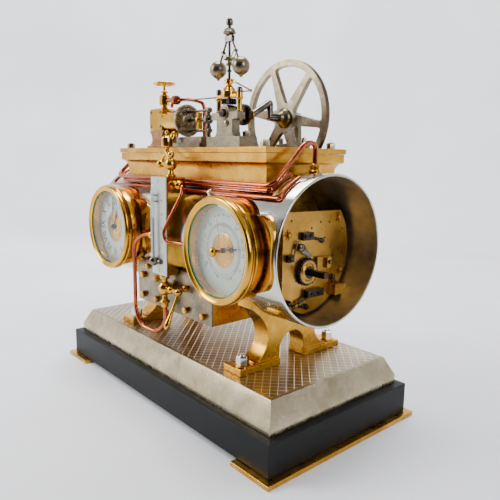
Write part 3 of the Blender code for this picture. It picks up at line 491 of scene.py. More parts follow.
def engine_piece(*args, **settings):
    """A piece drawn on the engine's bench."""
    return piece(*args, bench=BENCH, **settings)


print("joining helper ready")

# %% [markdown]
# ## Base
# Two gilt bars carry a black slab, and a nickelled plate with bevelled sides lies on it. Each
# would be planed from solid stock, so sharp edges are only just broken. The plate's top is a
# separate thin skin here, because it alone carries the ruled finish.

# %% Base pieces
for side, name in ((-1, "foot_bar_left"), (1, "foot_bar_right")):
    outer, inner = side * 186.0, side * 140.0
    bar = block((min(outer, inner), -97.0, 0.0), (max(outer, inner), 97.0, 4.0))
    piece("gilt_" + name, SATIN_GILT, "stand", [bar], [name], 0.35, "gilt")
piece("black_slab", EBONISED, "stand", [block((-180.0, -91.0, 4.2), (180.0, 91.0, 33.0))], ["plinth_slab"],
      0.9,
      "ebonised")
piece("bevelled_plate", NICKEL, "stand",
      [moulding([(33.2, 172.2, 83.2), (41.6, 172.2, 83.2), (PLATE_TOP - 0.15, 163.8, 74.8)])],
      ["bevelled_base_plate"], 0.3, "nickel")
piece("ruled_field", RULED, "stand",
      [block((-162.9, -73.9, PLATE_TOP - 0.2), (162.9, 73.9, PLATE_TOP))], edge=0.0, slot="nickel")
print("base:", len(MADE), "pieces")

# %% [markdown]
# ## Saddles
# The boiler sits on two cast cradles with hollow sides and an arch between their feet. The
# outline is sawn and filed, so a smooth curve through a few points gives it. A hexagon bolt
# holds each foot.

# %% Saddle pieces
def smooth_side(points, steps=6):
    """A flowing curve through points, for filed outlines."""
    curve = []
    last = len(points) - 1
    for k in range(last):
        a, b = Vector(points[max(k - 1, 0)]), Vector(points[k])
        c, d = Vector(points[k + 1]), Vector(points[min(k + 2, last)])
        for s in range(steps):
            t = s / steps
            curve.append(tuple(0.5 * ((2 * b) + (c - a) * t + (2 * a - 5 * b + 4 * c - d) * t * t
                                      + (3 * b - a - 3 * c + d) * t ** 3)))
    return curve + [tuple(points[last])]


def saddle_outline():
    seat_r = BOILER_R + 0.1
    tip = math.degrees(math.asin(50.0 / seat_r))
    cradle = arc((0.0, AXIS_Z), seat_r, -90.0 + tip, -90.0 - tip, 40)
    right = smooth_side([(46.0, 65.5), (38.0, 71.0), (32.6, 79.0), (31.0, 88.0), (33.6, 98.0), (41.0, 108.5),
                         (52.0, 117.5)])
    left = [(-y, z) for y, z in reversed(right)]
    arch = arc((0.0, 72.0), 16.0, 180.0, 0.0, 28)
    return cradle + left + [(-46.0, 60.0), (-16.0, 60.0)] + arch + [(16.0, 60.0), (46.0, 60.0)] + right


for side, x in SADDLES:
    solids = [sawn(saddle_outline(), "x", x - 9.5, x + 9.5)]
    for y in (-1, 1):
        near, far = sorted((y * 17.0, y * 65.5))
        solids.append(block((x - 12.0, near, PLATE_TOP + 0.1), (x + 12.0, far, 65.2)))
        near, far = sorted((y * 17.4, y * 46.5))
        solids.append(block((x - 10.6, near, 65.0), (x + 10.6, far, 67.0)))
    piece("gilt_saddle_" + side, SATIN_GILT, "stand", solids, ["boiler_saddle_" + side], 0.5, "gilt")
    bolts, washers = [], []
    for y in (-56.5, 56.5):
        washers.append(disc(7.0, "z", 65.1, 66.6, (x + 4.0, y, 0.0), 40))
        bolts += nut("z", (x + 4.0, y, 66.5), 6.0, 8.6, 1.2)
    piece("gilt_washers_" + side, GILT, "stand", washers, edge=0.2, slot="gilt")
    piece("nickel_bolts_" + side, BRIGHT_NICKEL, "stand", bolts, edge=0.25, slot="nickel")
print("after saddles:", len(MADE), "pieces")

# %% [markdown]
# ## Boiler
# The shell is sheet rolled to a tube, nickelled outside and left brushed inside, with a bright
# turned rim. The far end is closed by a slightly domed cap. A finer lathe turning replaces the
# CAD's faceted one, because its long reflections would show every facet.

# %% Boiler pieces
def shell_pieces():
    rim = 1.2
    outside = [(BOILER_R - 2.2, -BOILER_HALF), (BOILER_R - 0.6, -BOILER_HALF), (BOILER_R, -BOILER_HALF + 0.6),
               (BOILER_R, BOILER_HALF - rim), (BOILER_R - 0.5, BOILER_HALF - 0.3),
               (BOILER_R - 1.1, BOILER_HALF),
               (BOILER_R - 1.9, BOILER_HALF), (BOILER_R - 2.2, BOILER_HALF - 0.4)]
    return lathe(outside, "x", (0, 0, AXIS_Z), 160)


piece("rolled_shell", BRIGHT_NICKEL, "stand", [shell_pieces()], ["boiler_shell"], 0.0, "nickel")
INNER_SKIN = metal("brushed_shell_inside", [(0.3, "9C9380"), (0.55, "BDB59F"), (0.8, "CFC8B4")], (0.34, 0.52),
                   grain=(0.2, 1.0, 1.0), lines=0.3, patch_mm=18.0)
liner = lathe([(BOILER_R - 2.5, 88.0), (BOILER_R - 2.2, 88.0), (BOILER_R - 2.2, BOILER_HALF - 0.6),
               (BOILER_R - 2.5, BOILER_HALF - 0.6)], "x", (0, 0, AXIS_Z), 160)
piece("brushed_liner", INNER_SKIN, "stand", [liner], edge=0.0, slot="nickel")
seat = -BOILER_HALF - 0.2
dome = [(0.0, seat - 7.0), (14.0, seat - 6.8), (30.0, seat - 6.0), (46.0, seat - 4.6), (58.0, seat - 2.9),
        (61.0, seat - 2.0), (62.0, seat - 2.3), (66.2, seat - 2.3), (BOILER_R, seat - 1.6), (BOILER_R, seat),
        (0.0, seat)]
cap = [lathe(dome, "x", (0, 0, AXIS_Z), 128)]
for k in range(8):
    a = 2 * math.pi * (k + 0.5) / 8
    cap.append(lathe([(0.0, -1.9), (0.9, -1.7), (1.6, -1.0), (1.8, 0.0), (0.0, 0.0)], "x",
                     (seat - 2.2, 64.0 * math.cos(a), AXIS_Z + 64.0 * math.sin(a)), 20))
piece("domed_cap", NICKEL, "stand", cap, ["boiler_end_cap"], 0.0, "nickel")
knob = lathe([(0.0, -3.0), (3.0, -3.0), (2.4, 0.4), (3.4, 1.4), (3.4, 3.4), (2.2, 4.6), (0.0, 5.0)], "z",
             (0, 0, 0), 32)
knob_foot = Vector((50.0, -49.2, AXIS_Z + math.sqrt(BOILER_R ** 2 - 49.2 ** 2)))
piece("shell_knob", BRIGHT_NICKEL, "stand", [between(knob, knob_foot, knob_foot + Vector((0, -0.73, 0.68)))],
      edge=0.0, slot="nickel")
print("after boiler:", len(MADE), "pieces")

# %% [markdown]
# ## Firebox
# Under the boiler hangs a gilt box with a nickelled front plate, rounded at its upper corners
# and held by gilt hexagon screws.

# %% Firebox pieces
def firebox_sides():
    low, half_x, half_y, top = 92.0, 68.0, 60.0, 138.0
    seat_r = BOILER_R + 0.1
    tip = math.degrees(math.acos((AXIS_Z - top) / seat_r))
    cradle = arc((0.0, AXIS_Z), seat_r, -90.0 + tip, -90.0 - tip, 32)
    outline = [(half_y, low), (half_y, top)] + cradle + [(-half_y, top), (-half_y, low)]
    return sawn(outline, "x", -half_x, half_x)


front_y = -60.1
corner_r = 10.0
outline = [(-68.0, 92.0), (68.0, 92.0)] + arc((58.0, 128.0), corner_r, 0, 90, 12) + arc((-58.0, 128.0),
                                                                                        corner_r, 90, 180, 12)
piece("gilt_firebox", SATIN_GILT, "stand", [firebox_sides()], ["firebox_casing"], 0.4, "gilt")
piece("nickel_firebox_front", CAST_NICKEL, "stand", [sawn(outline, "y", front_y - 1.7, front_y)],
      ["firebox_front_plate"], 0.3, "nickel")
screws = []
for x in (-55.0, -27.5, 27.0, 55.0):
    for z in (99.5, 121.3):
        screws += nut("y", (x, front_y - 1.6, z), 3.7, -4.0, -0.5)
screws += nut("y", (-45.0, front_y - 1.6, 132.0), 3.2, -3.6, -0.5)
piece("gilt_firebox_screws", GILT, "stand", screws, edge=0.2, slot="gilt")
print("after firebox:", len(MADE), "pieces")

# %% [markdown]
# ## Deck
# The engine's bed is a gilt cornice: a flat top with a lip, a band, a hollow curve and a
# straight body that straddles the boiler. Nickelled nuts hold it near its corners.

# %% Deck pieces
def deck_levels():
    hx, hy, band, body = 126.0, 50.7, 1.3, 7.4
    levels = [(226.0, hx - body, hy - body)]
    for k in range(13):
        a = math.pi / 2 * k / 12
        inset = body - (body - band - 0.8) * (1 - math.cos(a))
        levels.append((234.5 + 9.3 * math.sin(a), hx - inset, hy - inset))
    return levels + [(244.6, hx - band, hy - band), (252.0, hx - band, hy - band)]


def hollowed(bm, tool=None):
    """Cuts the boiler's round, or another shape, out of a solid."""
    scratch = []
    for part in (bm, tool or disc(BOILER_R + 0.1, "x", -200.0, 200.0, (0, 0, AXIS_Z), 128)):
        mesh = bpy.data.meshes.new("scratch")
        bmesh.ops.recalc_face_normals(part, faces=part.faces)
        part.to_mesh(mesh)
        part.free()
        obj = bpy.data.objects.new("scratch", mesh)
        bpy.context.scene.collection.objects.link(obj)
        scratch.append(obj)
    cut = scratch[0].modifiers.new("cut", "BOOLEAN")
    cut.operation, cut.solver, cut.object = "DIFFERENCE", "EXACT", scratch[1]
    graph = bpy.context.evaluated_depsgraph_get()
    result = bmesh.new()
    result.from_mesh(scratch[0].evaluated_get(graph).to_mesh())
    for obj in scratch:
        bpy.data.objects.remove(obj, do_unlink=True)
    return result


def wheel_slot():
    return block((*WHEEL_SLOT[0], 200.0), (*WHEEL_SLOT[1], 270.0))


cornice = hollowed(hollowed(moulding(deck_levels())), wheel_slot())
piece("gilt_cornice", SATIN_GILT, "stand", [cornice], ["deck_cradle"], 0.0, "gilt")
plate = hollowed(block((-126.0, -50.7, 252.2), (126.0, 50.7, DECK_TOP)), wheel_slot())
piece("gilt_deck_plate", SATIN_GILT, "stand", [plate], ["deck_top_plate"], 0.4, "gilt")
nuts = []
for x in (-117.5, 113.0):
    for y in (-40.5, 43.5):
        nuts += nut("z", (x, y, DECK_TOP), 4.4, 5.6, 0.8)
piece("deck_nuts", NICKEL, "stand", nuts, edge=0.25, slot="nickel")
print("after deck:", len(MADE), "pieces")

# %% [markdown]
# ## Dial drums and bezels
# Each dial sits in a gilt drum, spun from sheet, on a gilt saddle that follows the shell. The
# bezel is a stepped ring. The clock's bezel is a door, and where each bezel meets its drum a
# thin dark ring stands in the gap as painted shade.

# %% Drum pieces
DRUM_FRONT, BEZEL_FRONT, DIAL_R = -76.0, -84.0, 41.4


def saddle_plate(x):
    half, height, radius = 55.0, 31.5, 18.0
    outline = []
    for start, sx, sz in ((0, 1, 1), (90, -1, 1), (180, -1, -1), (270, 1, -1)):
        middle = (x + sx * (half - radius), DIAL_Z + 1.5 + sz * (height - radius))
        outline += arc(middle, radius, start, start + 90, 12)
    return sawn(outline, "y", -BOILER_R - 2.6, -40.0)


def drum(x):
    profile = [(DRUM_R - 2.2, DRUM_FRONT), (DRUM_R - 0.3, DRUM_FRONT), (DRUM_R, DRUM_FRONT + 0.4),
               (DRUM_R, -66.4),
               (DRUM_R, -40.0), (0.0, -40.0), (0.0, -71.9), (DRUM_R - 2.2, -71.9)]
    return lathe(profile, "y", (x, 0.0, DIAL_Z), 112)


def bezel(x):
    """Ring with a full, rounded front edge and a slope down to the glass."""
    back = DRUM_FRONT - 0.25
    profile = [(DIAL_R + 0.2, back), (BEZEL_R - 0.9, back), (BEZEL_R - 0.4, back - 0.4),
               (BEZEL_R, back - 1.0),
               (BEZEL_R, back - 2.4), (BEZEL_R - 0.5, back - 2.8), (BEZEL_R - 0.5, back - 3.2),
               (BEZEL_R - 0.2, back - 4.2), (BEZEL_R - 0.3, back - 5.4), (BEZEL_R - 0.8, back - 6.6),
               (BEZEL_R - 1.7, BEZEL_FRONT + 0.2), (BEZEL_R - 2.6, BEZEL_FRONT),
               (BEZEL_R - 3.2, BEZEL_FRONT + 0.3),
               (DIAL_R + 0.6, BEZEL_FRONT + 1.2), (DIAL_R - 1.4, BEZEL_FRONT + 1.6),
               (DIAL_R - 1.4, BEZEL_FRONT + 2.0),
               (DIAL_R + 0.2, BEZEL_FRONT + 2.0)]
    return lathe(profile, "y", (x, 0.0, DIAL_Z), 112)


HINGE_X, HINGE_Y = -DIAL_X - BEZEL_R - 1.8, DRUM_FRONT - 3.0
knuckles = []
for side in (-1, 1):
    near, far = sorted((DIAL_Z + side * 9.4, DIAL_Z + side * 14.0))
    knuckles.append(rod((HINGE_X, HINGE_Y, near), (HINGE_X, HINGE_Y, far), 1.8))
    knuckles.append(block((HINGE_X - 1.3, HINGE_Y, near), (HINGE_X + 0.5, DRUM_FRONT + 3.0, far)))
    knuckles.append(block((HINGE_X - 1.3, DRUM_FRONT, near), (HINGE_X + 10.0, DRUM_FRONT + 3.0, far)))
piece("gilt_clock_drum", GILT, "stand", [hollowed(drum(-DIAL_X))], ["clock_drum"], 0.0, "gilt")
piece("clock_drum_saddle", GILT, "stand", [hollowed(saddle_plate(-DIAL_X))], edge=0.0, slot="gilt")
piece("clock_drum_hinge", GILT, "stand", knuckles, edge=0.2, slot="gilt")
piece("gilt_barometer_drum", GILT, "stand", [hollowed(drum(DIAL_X))], ["barometer_drum"], 0.0, "gilt")
piece("barometer_drum_saddle", GILT, "stand", [hollowed(saddle_plate(DIAL_X))], edge=0.0, slot="gilt")
door = [rod((HINGE_X, HINGE_Y, DIAL_Z - 9.0), (HINGE_X, HINGE_Y, DIAL_Z + 9.0), 1.8),
        block((HINGE_X, HINGE_Y - 0.9, DIAL_Z - 8.4), (HINGE_X + 5.0, HINGE_Y + 0.9, DIAL_Z + 8.4)),
        block((-DIAL_X + BEZEL_R - 1.0, HINGE_Y - 1.3, DIAL_Z - 2.3),
              (-DIAL_X + BEZEL_R + 2.1, HINGE_Y + 0.9, DIAL_Z + 2.3))]
piece("clock_bezel_door", GILT, "clock_door", [bezel(-DIAL_X)], ["clock_bezel"], 0.0, "gilt")
piece("clock_door_hinge_and_latch", GILT, "clock_door", door, edge=0.3, slot="gilt")
piece("barometer_bezel_ring", GILT, "stand", [bezel(DIAL_X)], ["barometer_bezel"], 0.0, "gilt")
for x, name in ((-DIAL_X, "clock"), (DIAL_X, "barometer")):
    slope = [(38.2, -73.45), (41.2, -73.45), (41.2, -79.4), (40.6, -79.4), (38.2, -73.8)]
    piece(name + "_inner_ring", SATIN_GILT, "stand", [lathe(slope, "y", (x, 0.0, DIAL_Z), 96)], edge=0.0,
          slot="gilt")
    # A thin dark ring in the gap between bezel and drum: painted shade of that gap.
    gap_shade_ring = [(BEZEL_R - 1.3, DRUM_FRONT - 0.2), (BEZEL_R - 1.3, DRUM_FRONT + 0.5),
            (DRUM_R - 1.0, DRUM_FRONT + 0.5),
            (DRUM_R - 1.0, DRUM_FRONT - 0.2)]
    piece(name + "_painted_gap_shade", DARK_STEEL, "stand", [lathe(gap_shade_ring, "y", (x, 0.0, DIAL_Z), 96)], edge=0.0,
          slot="gilt")
print("after drums:", len(MADE), "pieces")

# %% [markdown]
# ## Glasses
# The covers are flat glass with a wide ground bevel. The flat hardly shows. The bevel gathers
# light and looks green, so it is a ring of its own.

# %% Glass pieces
for x, body, name, bore in ((-DIAL_X, "clock_door", "clock_glass", 0.0),
                            (DIAL_X, "stand", "barometer_glass", 2.0)):
    flat = [(bore, -81.6), (38.6, -81.6), (38.6, -80.4), (bore, -80.4)]
    piece("flat_" + name, COVER_GLASS, body, [lathe(flat, "y", (x, 0.0, DIAL_Z), 96)], [name], 0.0, "glass")
    slope = [(38.6, -81.6), (41.2, -80.6), (41.2, -79.9), (38.6, -80.4)]
    piece("bevel_" + name, GREEN_EDGE, body, [lathe(slope, "y", (x, 0.0, DIAL_Z), 96)], edge=0.0,
          slot="glass")
print("after glasses:", len(MADE), "pieces")

# %% [markdown]
# ## Marks on the dials
# Numerals and divisions were engraved and filled with black wax. They are thin solids standing
# a few hundredths of a millimetre proud. Words that would name weather or a maker are replaced
# by short plain dashes, and only numbers are kept.

# %% Marking helpers
def on_dial(bm, x, angle, radius, level, upright=False):
    """Moves a flat mark, drawn in X and Z at the origin, out to a place on a dial."""
    turn = Matrix.Identity(4) if upright else Matrix.Rotation(math.radians(angle), 4, "Y")
    out = Vector((radius * math.sin(math.radians(angle)), 0.0, radius * math.cos(math.radians(angle))))
    bm.transform(Matrix.Translation(Vector((x, level, DIAL_Z)) + out) @ turn)
    return bm


def dash(width, height):
    return block((-width / 2, -0.06, -height / 2), (width / 2, 0.0, height / 2))


def lettering(text, size):
    """A number as a flat mesh, centred, facing the front."""
    curve = bpy.data.curves.new("text", "FONT")
    curve.body, curve.size, curve.extrude = text, size, 0.03
    curve.align_x, curve.align_y = "CENTER", "CENTER"
    curve.offset = 0.012 * size
    obj = bpy.data.objects.new("text", curve)
    bpy.context.scene.collection.objects.link(obj)
    graph = bpy.context.evaluated_depsgraph_get()
    bm = bmesh.new()
    bm.from_mesh(obj.evaluated_get(graph).to_mesh())
    bpy.data.objects.remove(obj, do_unlink=True)
    bm.transform(Matrix.Rotation(math.pi / 2, 4, "X"))
    return bm


def circle_line(x, radius, width, level):
    return lathe([(radius - width / 2, level - 0.06), (radius + width / 2, level - 0.06),
                  (radius + width / 2, level),
                  (radius - width / 2, level)], "y", (x, 0.0, DIAL_Z), 96)


print("marking helpers ready")

# %% [markdown]
# ### Clock dial
# A silvered chapter ring carries Roman hours and a minute track. The centre is matt gilt with a
# fine ring around the boss. Hands are blued steel with a slim pierced tip.

# %% Clock dial pieces
FACE = -73.4
x = -DIAL_X
piece("clock_dial_plate", SILVERED, "stand", [lathe([(0.0, FACE), (41.2, FACE), (41.2, -72.3),
                                                     (0.0, -72.3)], "y",
                                                     (x, 0, DIAL_Z), 96)], ["clock_dial"], 0.0, "silvered")
marks = [circle_line(x, r, 0.35, FACE) for r in (37.6, 35.8, 17.2)]
for k in range(60):
    marks.append(on_dial(dash(0.9 if k % 5 == 0 else 0.4, 1.8), x, k * 6.0, 36.7, FACE))
for hour, numeral in enumerate(("XII", "I", "II", "III", "IV", "V", "VI", "VII", "VIII", "IX", "X", "XI")):
    mark = lettering(numeral, 9.4)
    mark.transform(Matrix.Scale(1.55, 4, (0, 0, 1)))
    marks.append(on_dial(mark, x, hour * 30.0, 28.6, FACE))
piece("clock_dial_marks", INK, "stand", marks, edge=0.0, slot="silvered")
centre = [(0.0, FACE - 0.35), (15.8, FACE - 0.35), (16.6, FACE), (0.0, FACE)]
piece("clock_dial_centre", SATIN_GILT, "stand", [lathe(centre, "y", (x, 0, DIAL_Z), 72)], edge=0.0,
      slot="gilt")


def hand(x, tip, tail, width, low, high, boss, degrees):
    """Leaf-shaped hand with its boss, turned to an hour."""
    right = smooth_side([(width * 0.3, 0.0), (width * 0.36, tip * 0.45), (width, tip * 0.62),
                         (width * 0.3, tip * 0.8),
                         (0.12, tip)], 5)
    outline = right + [(-a, b) for a, b in reversed(right)] + [(-width * 0.4, -tail), (width * 0.4, -tail)]
    blade = sawn(outline, "y", low, high)
    hub = disc(boss, "y", low - 0.2, high + 0.2, (0, 0, 0), 32)
    turn = Matrix.Translation(Vector((x, 0, DIAL_Z))) @ Matrix.Rotation(math.radians(degrees), 4, "Y")
    for part in (blade, hub):
        part.transform(turn)
    return [blade, hub]


piece("blued_hour_hand", BLUED, "hour", hand(x, 21.0, 4.0, 1.9, -74.7, -74.2, 3.0, 25.0), ["hour_hand"],
      0.1, "blued")
minute = hand(x, 33.0, 7.0, 1.5, -76.0, -75.5, 2.4, 3.0)
minute.append(lathe([(0.0, -78.0), (1.0, -77.9), (2.2, -77.0), (2.6, -76.2), (0.0, -76.0)], "y",
                    (x, 0, DIAL_Z), 28))
piece("blued_minute_hand", BLUED, "minute", minute, ["minute_hand"], 0.1, "blued")
print("after clock:", len(MADE), "pieces")

# %% [markdown]
# ### Barometer dial
# Rings of fine divisions surround a gilt centre. The pressure scale runs in inches of mercury,
# from 28 to 31, and plain dashes stand where the weather words were. A gilt knob through the
# glass turns a brass setting hand.

# %% Barometer pieces
x = DIAL_X
piece("barometer_dial_plate", SILVERED, "stand",
      [lathe([(0.0, FACE), (41.2, FACE), (41.2, -72.3), (0.0, -72.3)], "y", (x, 0, DIAL_Z), 96)],
      ["barometer_dial"], 0.0, "silvered")
marks = [circle_line(x, r, 0.3, FACE) for r in (23.4, 21.0)]
for k in range(101):
    angle = -135.0 + 2.7 * k
    long_mark = k % 10 == 0
    marks.append(on_dial(dash(0.35, 2.4 if long_mark else 1.3), x, angle, 22.2, FACE))
for k, number in enumerate(("28", "29", "30", "31")):
    marks.append(on_dial(lettering(number, 3.6), x, -121.5 + 81.0 * k, 26.6, FACE))
word_gaps = ((-128, -100, 30.4), (-92, -70, 30.4), (-60, -36, 30.4), (-24, 22, 30.4), (34, 58, 30.4),
             (68, 92, 30.4),
             (100, 126, 30.4), (-100, -60, 27.0), (60, 100, 27.0), (-168, -148, 25.0), (148, 172, 25.0))
for start, end, radius in word_gaps:
    count = int((end - start) / 3.1)
    for k in range(count):
        tall = 2.0 + 0.7 * ((k * 7 + start) % 3)
        if (k * 5 + end) % 4:
            marks.append(on_dial(dash(0.55, tall * 0.8), x, start + 3.1 * k, radius, FACE))
piece("barometer_dial_marks", INK, "stand", marks, edge=0.0, slot="silvered")
centre = [(0.0, FACE - 0.3), (14.4, FACE - 0.3), (15.0, FACE), (0.0, FACE)]
piece("barometer_dial_centre", SATIN_GILT, "stand", [lathe(centre, "y", (x, 0, DIAL_Z), 72)], edge=0.0,
      slot="gilt")
pointer = hand(x, 28.0, 9.0, 0.7, -75.0, -74.5, 2.4, 80.0)
crescent = ring(1.4, 2.5, "y", -75.0, -74.5, (0, 0, 12.5), 32)
crescent.transform(Matrix.Translation(Vector((x, 0, DIAL_Z))) @ Matrix.Rotation(math.radians(80.0), 4, "Y"))
piece("blued_pointer", BLUED, "barometer_pointer", pointer + [crescent], ["barometer_hand"], 0.08, "blued")
setting = hand(x, 28.0, 6.0, 0.8, -77.4, -76.9, 2.0, -8.0)
setting.append(disc(1.6, "y", -84.0, -77.0, (x, 0, DIAL_Z), 28))
knob = [(0.0, -87.0), (2.2, -86.8), (3.7, -85.9), (4.1, -84.8), (3.7, -83.7), (2.4, -82.9), (0.0, -82.8)]
setting.append(lathe(knob, "y", (x, 0, DIAL_Z), 40))
for k in range(12):
    a = 2 * math.pi * k / 12
    setting.append(rod((x + 3.8 * math.cos(a), -86.0, DIAL_Z + 3.8 * math.sin(a)),
                       (x + 3.8 * math.cos(a), -83.6, DIAL_Z + 3.8 * math.sin(a)), 0.42, 10))
piece("gilt_setting_hand", GILT, "barometer_set", setting, ["set_hand"], 0.08, "gilt")
print("after barometer:", len(MADE), "pieces")

# %% [markdown]
# ## Thermometer
# A silvered plate with two scales is pinned to a gilt block. The tube is thick glass with a
# mercury thread, held by a clip near its top, and its bulb sits in a bright steel cup.

# %% Thermometer pieces
piece("thermometer_gilt_block", GILT, "stand",
      [hollowed(block((-13.5, -74.7, 139.0), (13.5, -54.0, 228.5))),
       block((-13.5, -74.7, 133.0), (13.5, -62.8, 139.2))], ["thermometer_block"], 0.0, "gilt")
plate_y = -75.0
piece("thermometer_plate", SILVERED, "stand", [block((-13.5, plate_y - 1.1, 132.2), (13.5, plate_y, 228.5))],
      ["thermometer_scale"], 0.25, "silvered")
marks = []
face_y = plate_y - 1.1
for k in range(49):
    z = 152.0 + 1.35 * k
    long_mark = k % 5 == 0
    for side in (-1, 1):
        inner = -4.0 + side * 3.6
        outer = inner + side * (3.6 if long_mark else 2.0)
        low, high = sorted((inner, outer))
        marks.append(block((low, face_y - 0.06, z - 0.11), (high, face_y, z + 0.11)))
for k in range(5):
    for side, value in ((1, 10 * k), (-1, 32 + 18 * k)):
        mark = lettering(str(value), 3.0)
        mark.transform(Matrix.Translation(Vector((-4.0 + side * 8.6 + (1.0 if side > 0 else 1.6), face_y,
                                                  152.0 + 13.5 * k))))
        marks.append(mark)
for z in (136.5, 224.5):
    marks.append(block((-0.5, face_y - 0.06, z - 1.6), (0.5, face_y, z + 1.6)))
piece("thermometer_marks", INK, "stand", marks, edge=0.0, slot="silvered")
stem = (-4.0, -80.0)
glass = [(0.0, 144.0), (2.4, 144.6), (2.8, 149.0), (2.5, 152.0), (2.5, 212.4), (1.9, 215.6), (0.0, 216.6)]
piece("thermometer_glass", TUBE_GLASS, "stand", [lathe(glass, "z", (stem[0], stem[1], 0.0), 32)],
      ["thermometer_tube"], 0.0, "glass")
thread = [(0.0, 146.0), (1.5, 147.0), (1.0, 151.0), (0.9, 153.0), (0.9, 189.0), (0.0, 189.4)]
cup = [(0.0, 141.2), (2.4, 141.6), (4.2, 143.4), (4.8, 146.0), (4.2, 148.6), (3.0, 149.6), (2.6, 149.4),
       (0.0, 149.2)]
fittings = [lathe(thread, "z", (stem[0], stem[1], 0.0), 20),
            lathe(cup, "z", (stem[0], stem[1] + 0.2, 0.0), 36),
            disc(2.8, "y", -77.6, -76.0, (stem[0] + 8.0, 0.0, 146.0), 28),
            rod((stem[0], stem[1] + 0.4, 146.0), (stem[0] + 8.0, -77.4, 146.0), 1.4)]
for z in (205.0, 211.0):
    fittings.append(block((stem[0] - 2.6, stem[1] - 0.4, z - 0.5), (stem[0] + 2.6, face_y, z + 0.5)))
piece("thermometer_fittings", STEEL, "stand", fittings, edge=0.15, slot="steel")
print("after thermometer:", len(MADE), "pieces")

# %% [markdown]
# ## Pipes
# Soft copper tube bent round a former keeps the same width through every bend, so a tube swept
# along a rounded route is right. Gilt unions hide the ends.

# %% Pipe pieces
top_z = AXIS_Z + BOILER_R + 0.6
supply = [(-134.0, -6.0, top_z + 1.0), (-134.0, -6.0, 249.0), (-134.0, -24.0, 249.0), (-134.0, -50.0, 225.6),
          (134.0, -50.0, 225.6), (134.0, -14.0, 261.0), (134.0, -0.5, 261.0), (134.0, -0.5, top_z + 1.0)]
piece("copper_supply_pipe", COPPER, "stand", [tube(supply, 2.2, 9.0, 20)], ["supply_pipe"], 0.0, "copper")


def wrapped(radius, reach, angles):
    across = [(-radius * math.cos(math.radians(a)),
               AXIS_Z + radius * math.sin(math.radians(a))) for a in angles]
    return [(-reach, y, z) for y, z in reversed(across)] + [(reach, y, z) for y, z in across]


piece("copper_drain_pipe", COPPER, "stand", [tube(wrapped(69.8, 126.0, (48.6, 53, 58, 63, 67, 71)), 2.0,
                                                  5.0, 20)],
      ["drain_pipe"], 0.0, "copper")
piece("copper_return_pipe", COPPER, "stand", [tube(wrapped(69.5, 143.0, (42.5, 47, 52, 57, 62, 66)), 1.6,
                                                   5.0, 20)],
      ["return_pipe"], 0.0, "copper")
gauge = [(14.0, -64.0, 221.0), (24.0, -64.0, 221.0), (27.0, -67.0, 213.0), (15.0, -80.5, 177.0),
         (19.0, -80.5, 168.0), (34.0, -75.0, 168.0), (DIAL_X - DRUM_R + 0.4, -73.4, 168.0)]
piece("copper_gauge_pipe", COPPER, "stand", [tube(gauge, 1.7, 7.0, 20)], ["gauge_pipe"], 0.0, "copper")
siphon = [(-14.0, -72.0, 169.5), (-32.0, -74.5, 169.5), (-46.5, -78.0, 160.0), (-46.5, -78.0, 86.0),
          (-36.0, -77.5, 71.0), (-10.0, -74.0, 69.5), (0.0, TAP_Y, 80.0), (0.0, TAP_Y, 98.5)]
piece("copper_siphon_pipe", COPPER, "stand", [tube(siphon, 2.1, 12.0, 20)], ["siphon_pipe"], 0.0, "copper")
unions = []
for x, y in ((-134.0, -6.0), (134.0, -0.5)):
    unions.append(lathe([(0.0, 0.0), (5.4, 0.0), (5.6, 1.4), (4.4, 2.4), (4.6, 3.6), (5.0, 5.2), (4.0, 7.0),
                         (2.6, 7.6),
                         (0.0, 7.6)], "z", (x, y, top_z - 0.4), 40))
for place, size in (((17.8, -64.2, 221.0), 4.6), ((-18.4, -72.4, 169.5), 4.4)):
    unions.append(ball(size, place))
    toward = Vector((-14.0 if place[0] < 0 else 14.0, place[1], place[2]))
    unions.append(rod(tuple(toward), place, 3.0))
    unions.append(rod(place, (place[0] + (5.6 if place[0] > 0 else -5.6), place[1], place[2]), 2.8))
unions.append(disc(3.4, "x", 52.6, 54.8, (0.0, -73.4, 168.0), 32))
piece("gilt_unions", GILT, "stand", unions, edge=0.15, slot="gilt")
print("after pipes:", len(MADE), "pieces")

# %% [markdown]
# ## Taps
# Both taps are turned from brass bar and gilt: beads, necks and a bell, with a ball on the
# side that carries a drop-shaped handle. Only the handle turns.

# %% Tap pieces
def bead(radius, low, high, steps=10):
    """Points of a bead between two heights, starting and ending narrow."""
    middle, half = (low + high) / 2, (high - low) / 2
    points = []
    for k in range(steps + 1):
        a = math.pi * (0.12 + 0.76 * k / steps)
        points.append((radius * math.sin(a), middle - half * math.cos(a) / math.cos(math.pi * 0.12)))
    return points


lower = [(0.0, 97.8), (3.2, 97.8), (3.6, 98.6), (3.6, 101.6), (4.8, 102.6), (5.0, 104.0), (4.4, 105.2),
         (2.8, 106.2),
         (2.5, 109.8)] + bead(6.8, 110.4, 124.6) + [(2.7, 125.2), (2.7, 126.8), (4.6, 127.6), (5.0, 128.8),
                                                    (5.0, 131.6),
                                                   (4.4, 132.3), (0.0, 132.3)]
solids = [lathe(lower, "z", (0.0, TAP_Y, 0.0), 40), rod((0.0, TAP_Y, 118.0), (22.0, TAP_Y, 118.0), 1.9),
          ball(4.1, (11.5, TAP_Y, 118.0)), block((-3.8, TAP_Y + 3.0, 114.2), (3.8, -62.0, 121.8)),
          disc(3.2, "x", 5.6, 7.2, (0.0, TAP_Y, 118.0), 28),
          disc(3.2, "x", 19.0, 21.8, (0.0, TAP_Y, 118.0), 28)]
piece("gilt_lower_tap", GILT, "stand", solids, ["lower_tap_body"], 0.2, "gilt")


